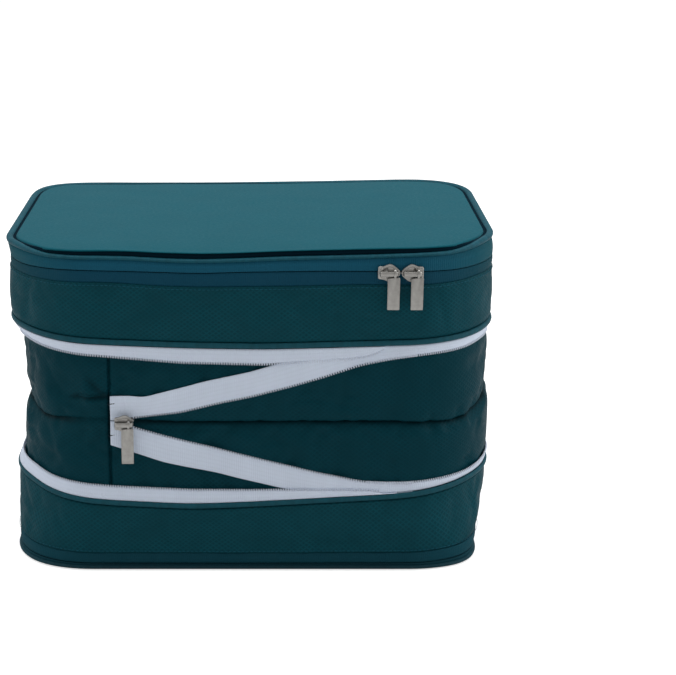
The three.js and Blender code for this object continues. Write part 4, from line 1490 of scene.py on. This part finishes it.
def slider_mesh(name, half):
    """Two plates, the post between them and a bridge in front; half is half the length."""
    bm = bmesh.new()
    # upper half of the outline: x, z
    side = [(-half, 3.9), (-3.4, 3.9), (-2.0, 4.5), (-0.6, 5.2), (0.8, 5.35), (2.4, 4.7),
            (min(4.4, half - 1.4), 3.2), (half - 0.7, 1.8), (half, 0.8)]
    outline = [(x, -z) for x, z in side] + side[::-1]
    prism(bm, round_poly(outline, 1.2), -1.7, -0.25, 0.5)
    raised = [(x * 0.8, z * 0.72) for x, z in outline]
    prism(bm, round_poly(raised, 0.9), -2.15, -1.5, 0.4)
    back = [(x * 0.96, z * 0.62) for x, z in outline]
    prism(bm, round_poly(back, 1.0), 4.4, 5.4, 0.3, 2)
    prism(bm, [(1.4, -0.42), (4.2, -0.42), (4.2, 0.42), (1.4, 0.42)], -0.9, 4.9, 0.0)
    # bridge: x, y
    bridge = np.array([
        (-5.0, -1.5), (-5.25, -2.4), (-5.1, -3.3), (-4.5, -3.95), (-3.2, -4.2), (0, -4.25),
        (3.2, -4.2), (4.5, -3.95), (5.1, -3.3), (5.25, -2.4), (5.0, -1.5)])
    fine = np.stack([np.interp(np.linspace(0, 10, 41), np.arange(11), bridge[:, i])
                     for i in (0, 1)], -1)
    for _ in range(3):
        fine[1:-1] = 0.25 * fine[:-2] + 0.5 * fine[1:-1] + 0.25 * fine[2:]
    widths = np.interp(np.linspace(0, 1, 41), [0, 0.2, 0.5, 0.8, 1], [2.6, 2.9, 2.9, 2.7, 2.4])
    sweep(bm, fine, widths, 0.95, 16)
    return metal_object(name, bm)


def pull_mesh(name, hang, length):
    """Eye round the bridge and a flat tab, up (hang = 1) or down (hang = -1)."""
    bm = bmesh.new()
    centre_x, centre_y, half = 2.75, -3.9, 3.65
    outline = [(-half, 3.2), (-half + 0.6, 2.7), (-1.0, 2.45), (0.0, 2.4), (1.0, 2.45),
               (half - 0.5, 2.0), (half, 2.6), (half, length), (-half, length)]
    outline = [(x + centre_x, z * hang) for x, z in outline]
    prism(bm, round_poly(outline, 0.6), centre_y - 0.5, centre_y + 0.5, 0.25)
    segments, sides = 28, 10
    loops = []
    for i in range(segments):
        turn = 2 * math.pi * i / segments
        section = []
        for j in range(sides):
            angle = 2 * math.pi * j / sides
            out = signed_power(math.cos(angle), 0.7)
            across = signed_power(math.sin(angle), 0.7)
            section.append(bm.verts.new((centre_x + 0.7 + 0.75 * across,
                                         centre_y + (1.15 + 0.32 * out) * math.cos(turn),
                                         (2.2 + 0.45 * out) * math.sin(turn))))
        loops.append(section)
    for i in range(segments):
        first, second = loops[i], loops[(i + 1) % segments]
        for j in range(sides):
            k = (j + 1) % sides
            bm.faces.new((first[j], first[k], second[k], second[j]))
    return metal_object(name, bm)


def add_slider(name, spot, hang, turn=0.0, corner=None, half=6.6, length=21.9, pull_shift=0.0):
    """A slider and its pull. One at a corner (centre x, y, angle) is swung round its centre,
    and its slider faces the other way along the zip."""
    x, y, z = spot

    def put(ob, x, flip):
        move = Matrix.Translation((x * MM, y * MM, z * MM)) @ Matrix.Rotation(turn, 4, "Z")
        if flip:
            move = move @ Matrix.Rotation(math.pi, 4, "Y")
        if corner:
            centre = Vector((corner[0] * MM, corner[1] * MM, 0))
            move = (Matrix.Translation(centre) @ Matrix.Rotation(corner[2], 4, "Z")
                    @ Matrix.Translation(-centre) @ move)
        ob.data.transform(move)
        return ob

    place(put(slider_mesh(f"{name}_slider_metal", half), x, bool(corner)),
          f"{name}_slider_body", "slider_metal", f"{name}_slider")
    place(put(pull_mesh(f"{name}_pull_metal", hang, length), x + pull_shift, False),
          f"{name}_pull_body", "slider_metal", f"{name}_pull")


TOP_SLIDER_X, TOP_PITCH = 81.5, 13.8
SIDE_SLIDER_X, SIDE_SLIDER_Y, SIDE_PITCH = 147.7, 43, 14.4
top_angle = (TOP_SLIDER_X + TOP_PITCH - HALF_X) / CORNER_R
side_angle = (SIDE_SLIDER_Y + SIDE_PITCH - HALF_Y) / CORNER_R
add_slider("compression", (-75.4, FRONT_Y, MID - 0.8), hang=-1, half=5.7, length=24.6,
           pull_shift=-0.6)
add_slider("top_left", (TOP_SLIDER_X, FRONT_Y, TOP_ZIP), hang=-1)
add_slider("top_right", (HALF_X, FRONT_Y, TOP_ZIP), hang=-1,
           corner=(HALF_X, -HALF_Y, top_angle))
add_slider("bottom_front", (SIDE_SLIDER_X, SIDE_SLIDER_Y, BOTTOM_ZIP), hang=1,
           turn=math.pi / 2)
add_slider("bottom_rear", (SIDE_SLIDER_X, HALF_Y, BOTTOM_ZIP), hang=1, turn=math.pi / 2,
           corner=(HALF_X, HALF_Y, side_angle))


# ------------------------------------------------------------------ floor and world
def pale_floor():
    """Pale floor that the camera sees nearly white, with a soft contact shadow."""
    mat = bpy.data.materials.new("pale_floor")
    mat.use_nodes = True
    tree = mat.node_tree
    inputs = tree.nodes["Principled BSDF"].inputs
    inputs["Base Color"].default_value = (0.8, 0.8, 0.8, 1)
    inputs["Roughness"].default_value = 0.9
    inputs["Specular IOR Level"].default_value = 0.2
    inputs["Emission Color"].default_value = (1, 1, 1, 1)
    light_path = tree.nodes.new("ShaderNodeLightPath")
    glow = tree.nodes.new("ShaderNodeMath")
    glow.operation = "MULTIPLY"
    glow.inputs[1].default_value = 0.62
    tree.links.new(light_path.outputs["Is Camera Ray"], glow.inputs[0])
    tree.links.new(glow.outputs[0], inputs["Emission Strength"])
    return mat


FLOOR_HALF, FLOOR_Z = 4000, -0.3
floor = new_object("floor", [(x * FLOOR_HALF, y * FLOOR_HALF, FLOOR_Z)
                             for x, y in ((-1, -1), (1, -1), (1, 1), (-1, 1))],
                   [(0, 1, 2, 3)], mat=pale_floor(), smooth=False)

# the world looks brighter to the camera than the light it gives
scene = bpy.context.scene
world = bpy.data.worlds.new("studio")
scene.world = world
world.use_nodes = True
tree = world.node_tree
background = tree.nodes["Background"]
background.inputs["Color"].default_value = (1.0, 1.0, 1.0, 1)
light_path = tree.nodes.new("ShaderNodeLightPath")
strength = tree.nodes.new("ShaderNodeMapRange")
strength.inputs["To Min"].default_value = 0.45
strength.inputs["To Max"].default_value = 1.0
tree.links.new(light_path.outputs["Is Camera Ray"], strength.inputs["Value"])
tree.links.new(strength.outputs[0], background.inputs["Strength"])


# ------------------------------------------------------------------ lights, in metres
def area(name, location, target_z, size, power):
    """Area light aimed at the vertical axis at target_z."""
    light = bpy.data.lights.new(name, "AREA")
    light.shape = "RECTANGLE"
    light.size, light.size_y = size
    light.energy = power
    ob = bpy.data.objects.new(name, light)
    scene.collection.objects.link(ob)
    ob.location = location
    aim = Vector((0, 0, target_z)) - Vector(location)
    ob.rotation_euler = aim.to_track_quat("-Z", "Y").to_euler()


area("top_soft", location=(0.05, 0.25, 1.7), target_z=0.1, size=(1.8, 1.4), power=22)
area("right_soft", location=(1.5, -0.1, 0.75), target_z=0.12, size=(0.9, 1.2), power=8.3)
area("left_soft", location=(-1.5, -0.1, 0.7), target_z=0.12, size=(0.9, 1.2), power=4.6)

# ------------------------------------------------------------------ camera
LENS = 95.857988
AIM_RIGHT, AIM_UP = 4.6331361, 1.1982249  # aim past the cube, as mm at the lens distance
DISTANCE, PIVOT_Z = 1189.0, 100.0
AZIMUTH, ELEVATION, ROLL = (math.radians(a) for a in (0.29, 17.84, -0.23))
camera_data = bpy.data.cameras.new("camera")
camera = bpy.data.objects.new("camera", camera_data)
scene.collection.objects.link(camera)
scene.camera = camera
camera_data.sensor_width = 36.0
camera_data.lens = LENS
camera_data.clip_start, camera_data.clip_end = 0.05, 30
back = np.array([math.sin(AZIMUTH) * math.cos(ELEVATION),
                 -math.cos(AZIMUTH) * math.cos(ELEVATION), math.sin(ELEVATION)])
right = np.array([math.cos(AZIMUTH), math.sin(AZIMUTH), 0.0])
up = np.cross(back, right)
rolled_right = right * math.cos(ROLL) - up * math.sin(ROLL)
rolled_up = right * math.sin(ROLL) + up * math.cos(ROLL)
# the cube stands left of the picture's centre, so the camera looks past it
look = rolled_right * AIM_RIGHT + rolled_up * AIM_UP - back * LENS
axis_z = -look / np.linalg.norm(look)
axis_x = rolled_right - axis_z * (rolled_right @ axis_z)
axis_x /= np.linalg.norm(axis_x)
axis_y = np.cross(axis_z, axis_x)
position = (np.array([0, 0, PIVOT_Z]) + back * DISTANCE) * MM
camera.matrix_world = Matrix([*zip(axis_x, axis_y, axis_z, position), (0, 0, 0, 1)])

scene.view_settings.view_transform = "Standard"
scene.view_settings.look = "None"
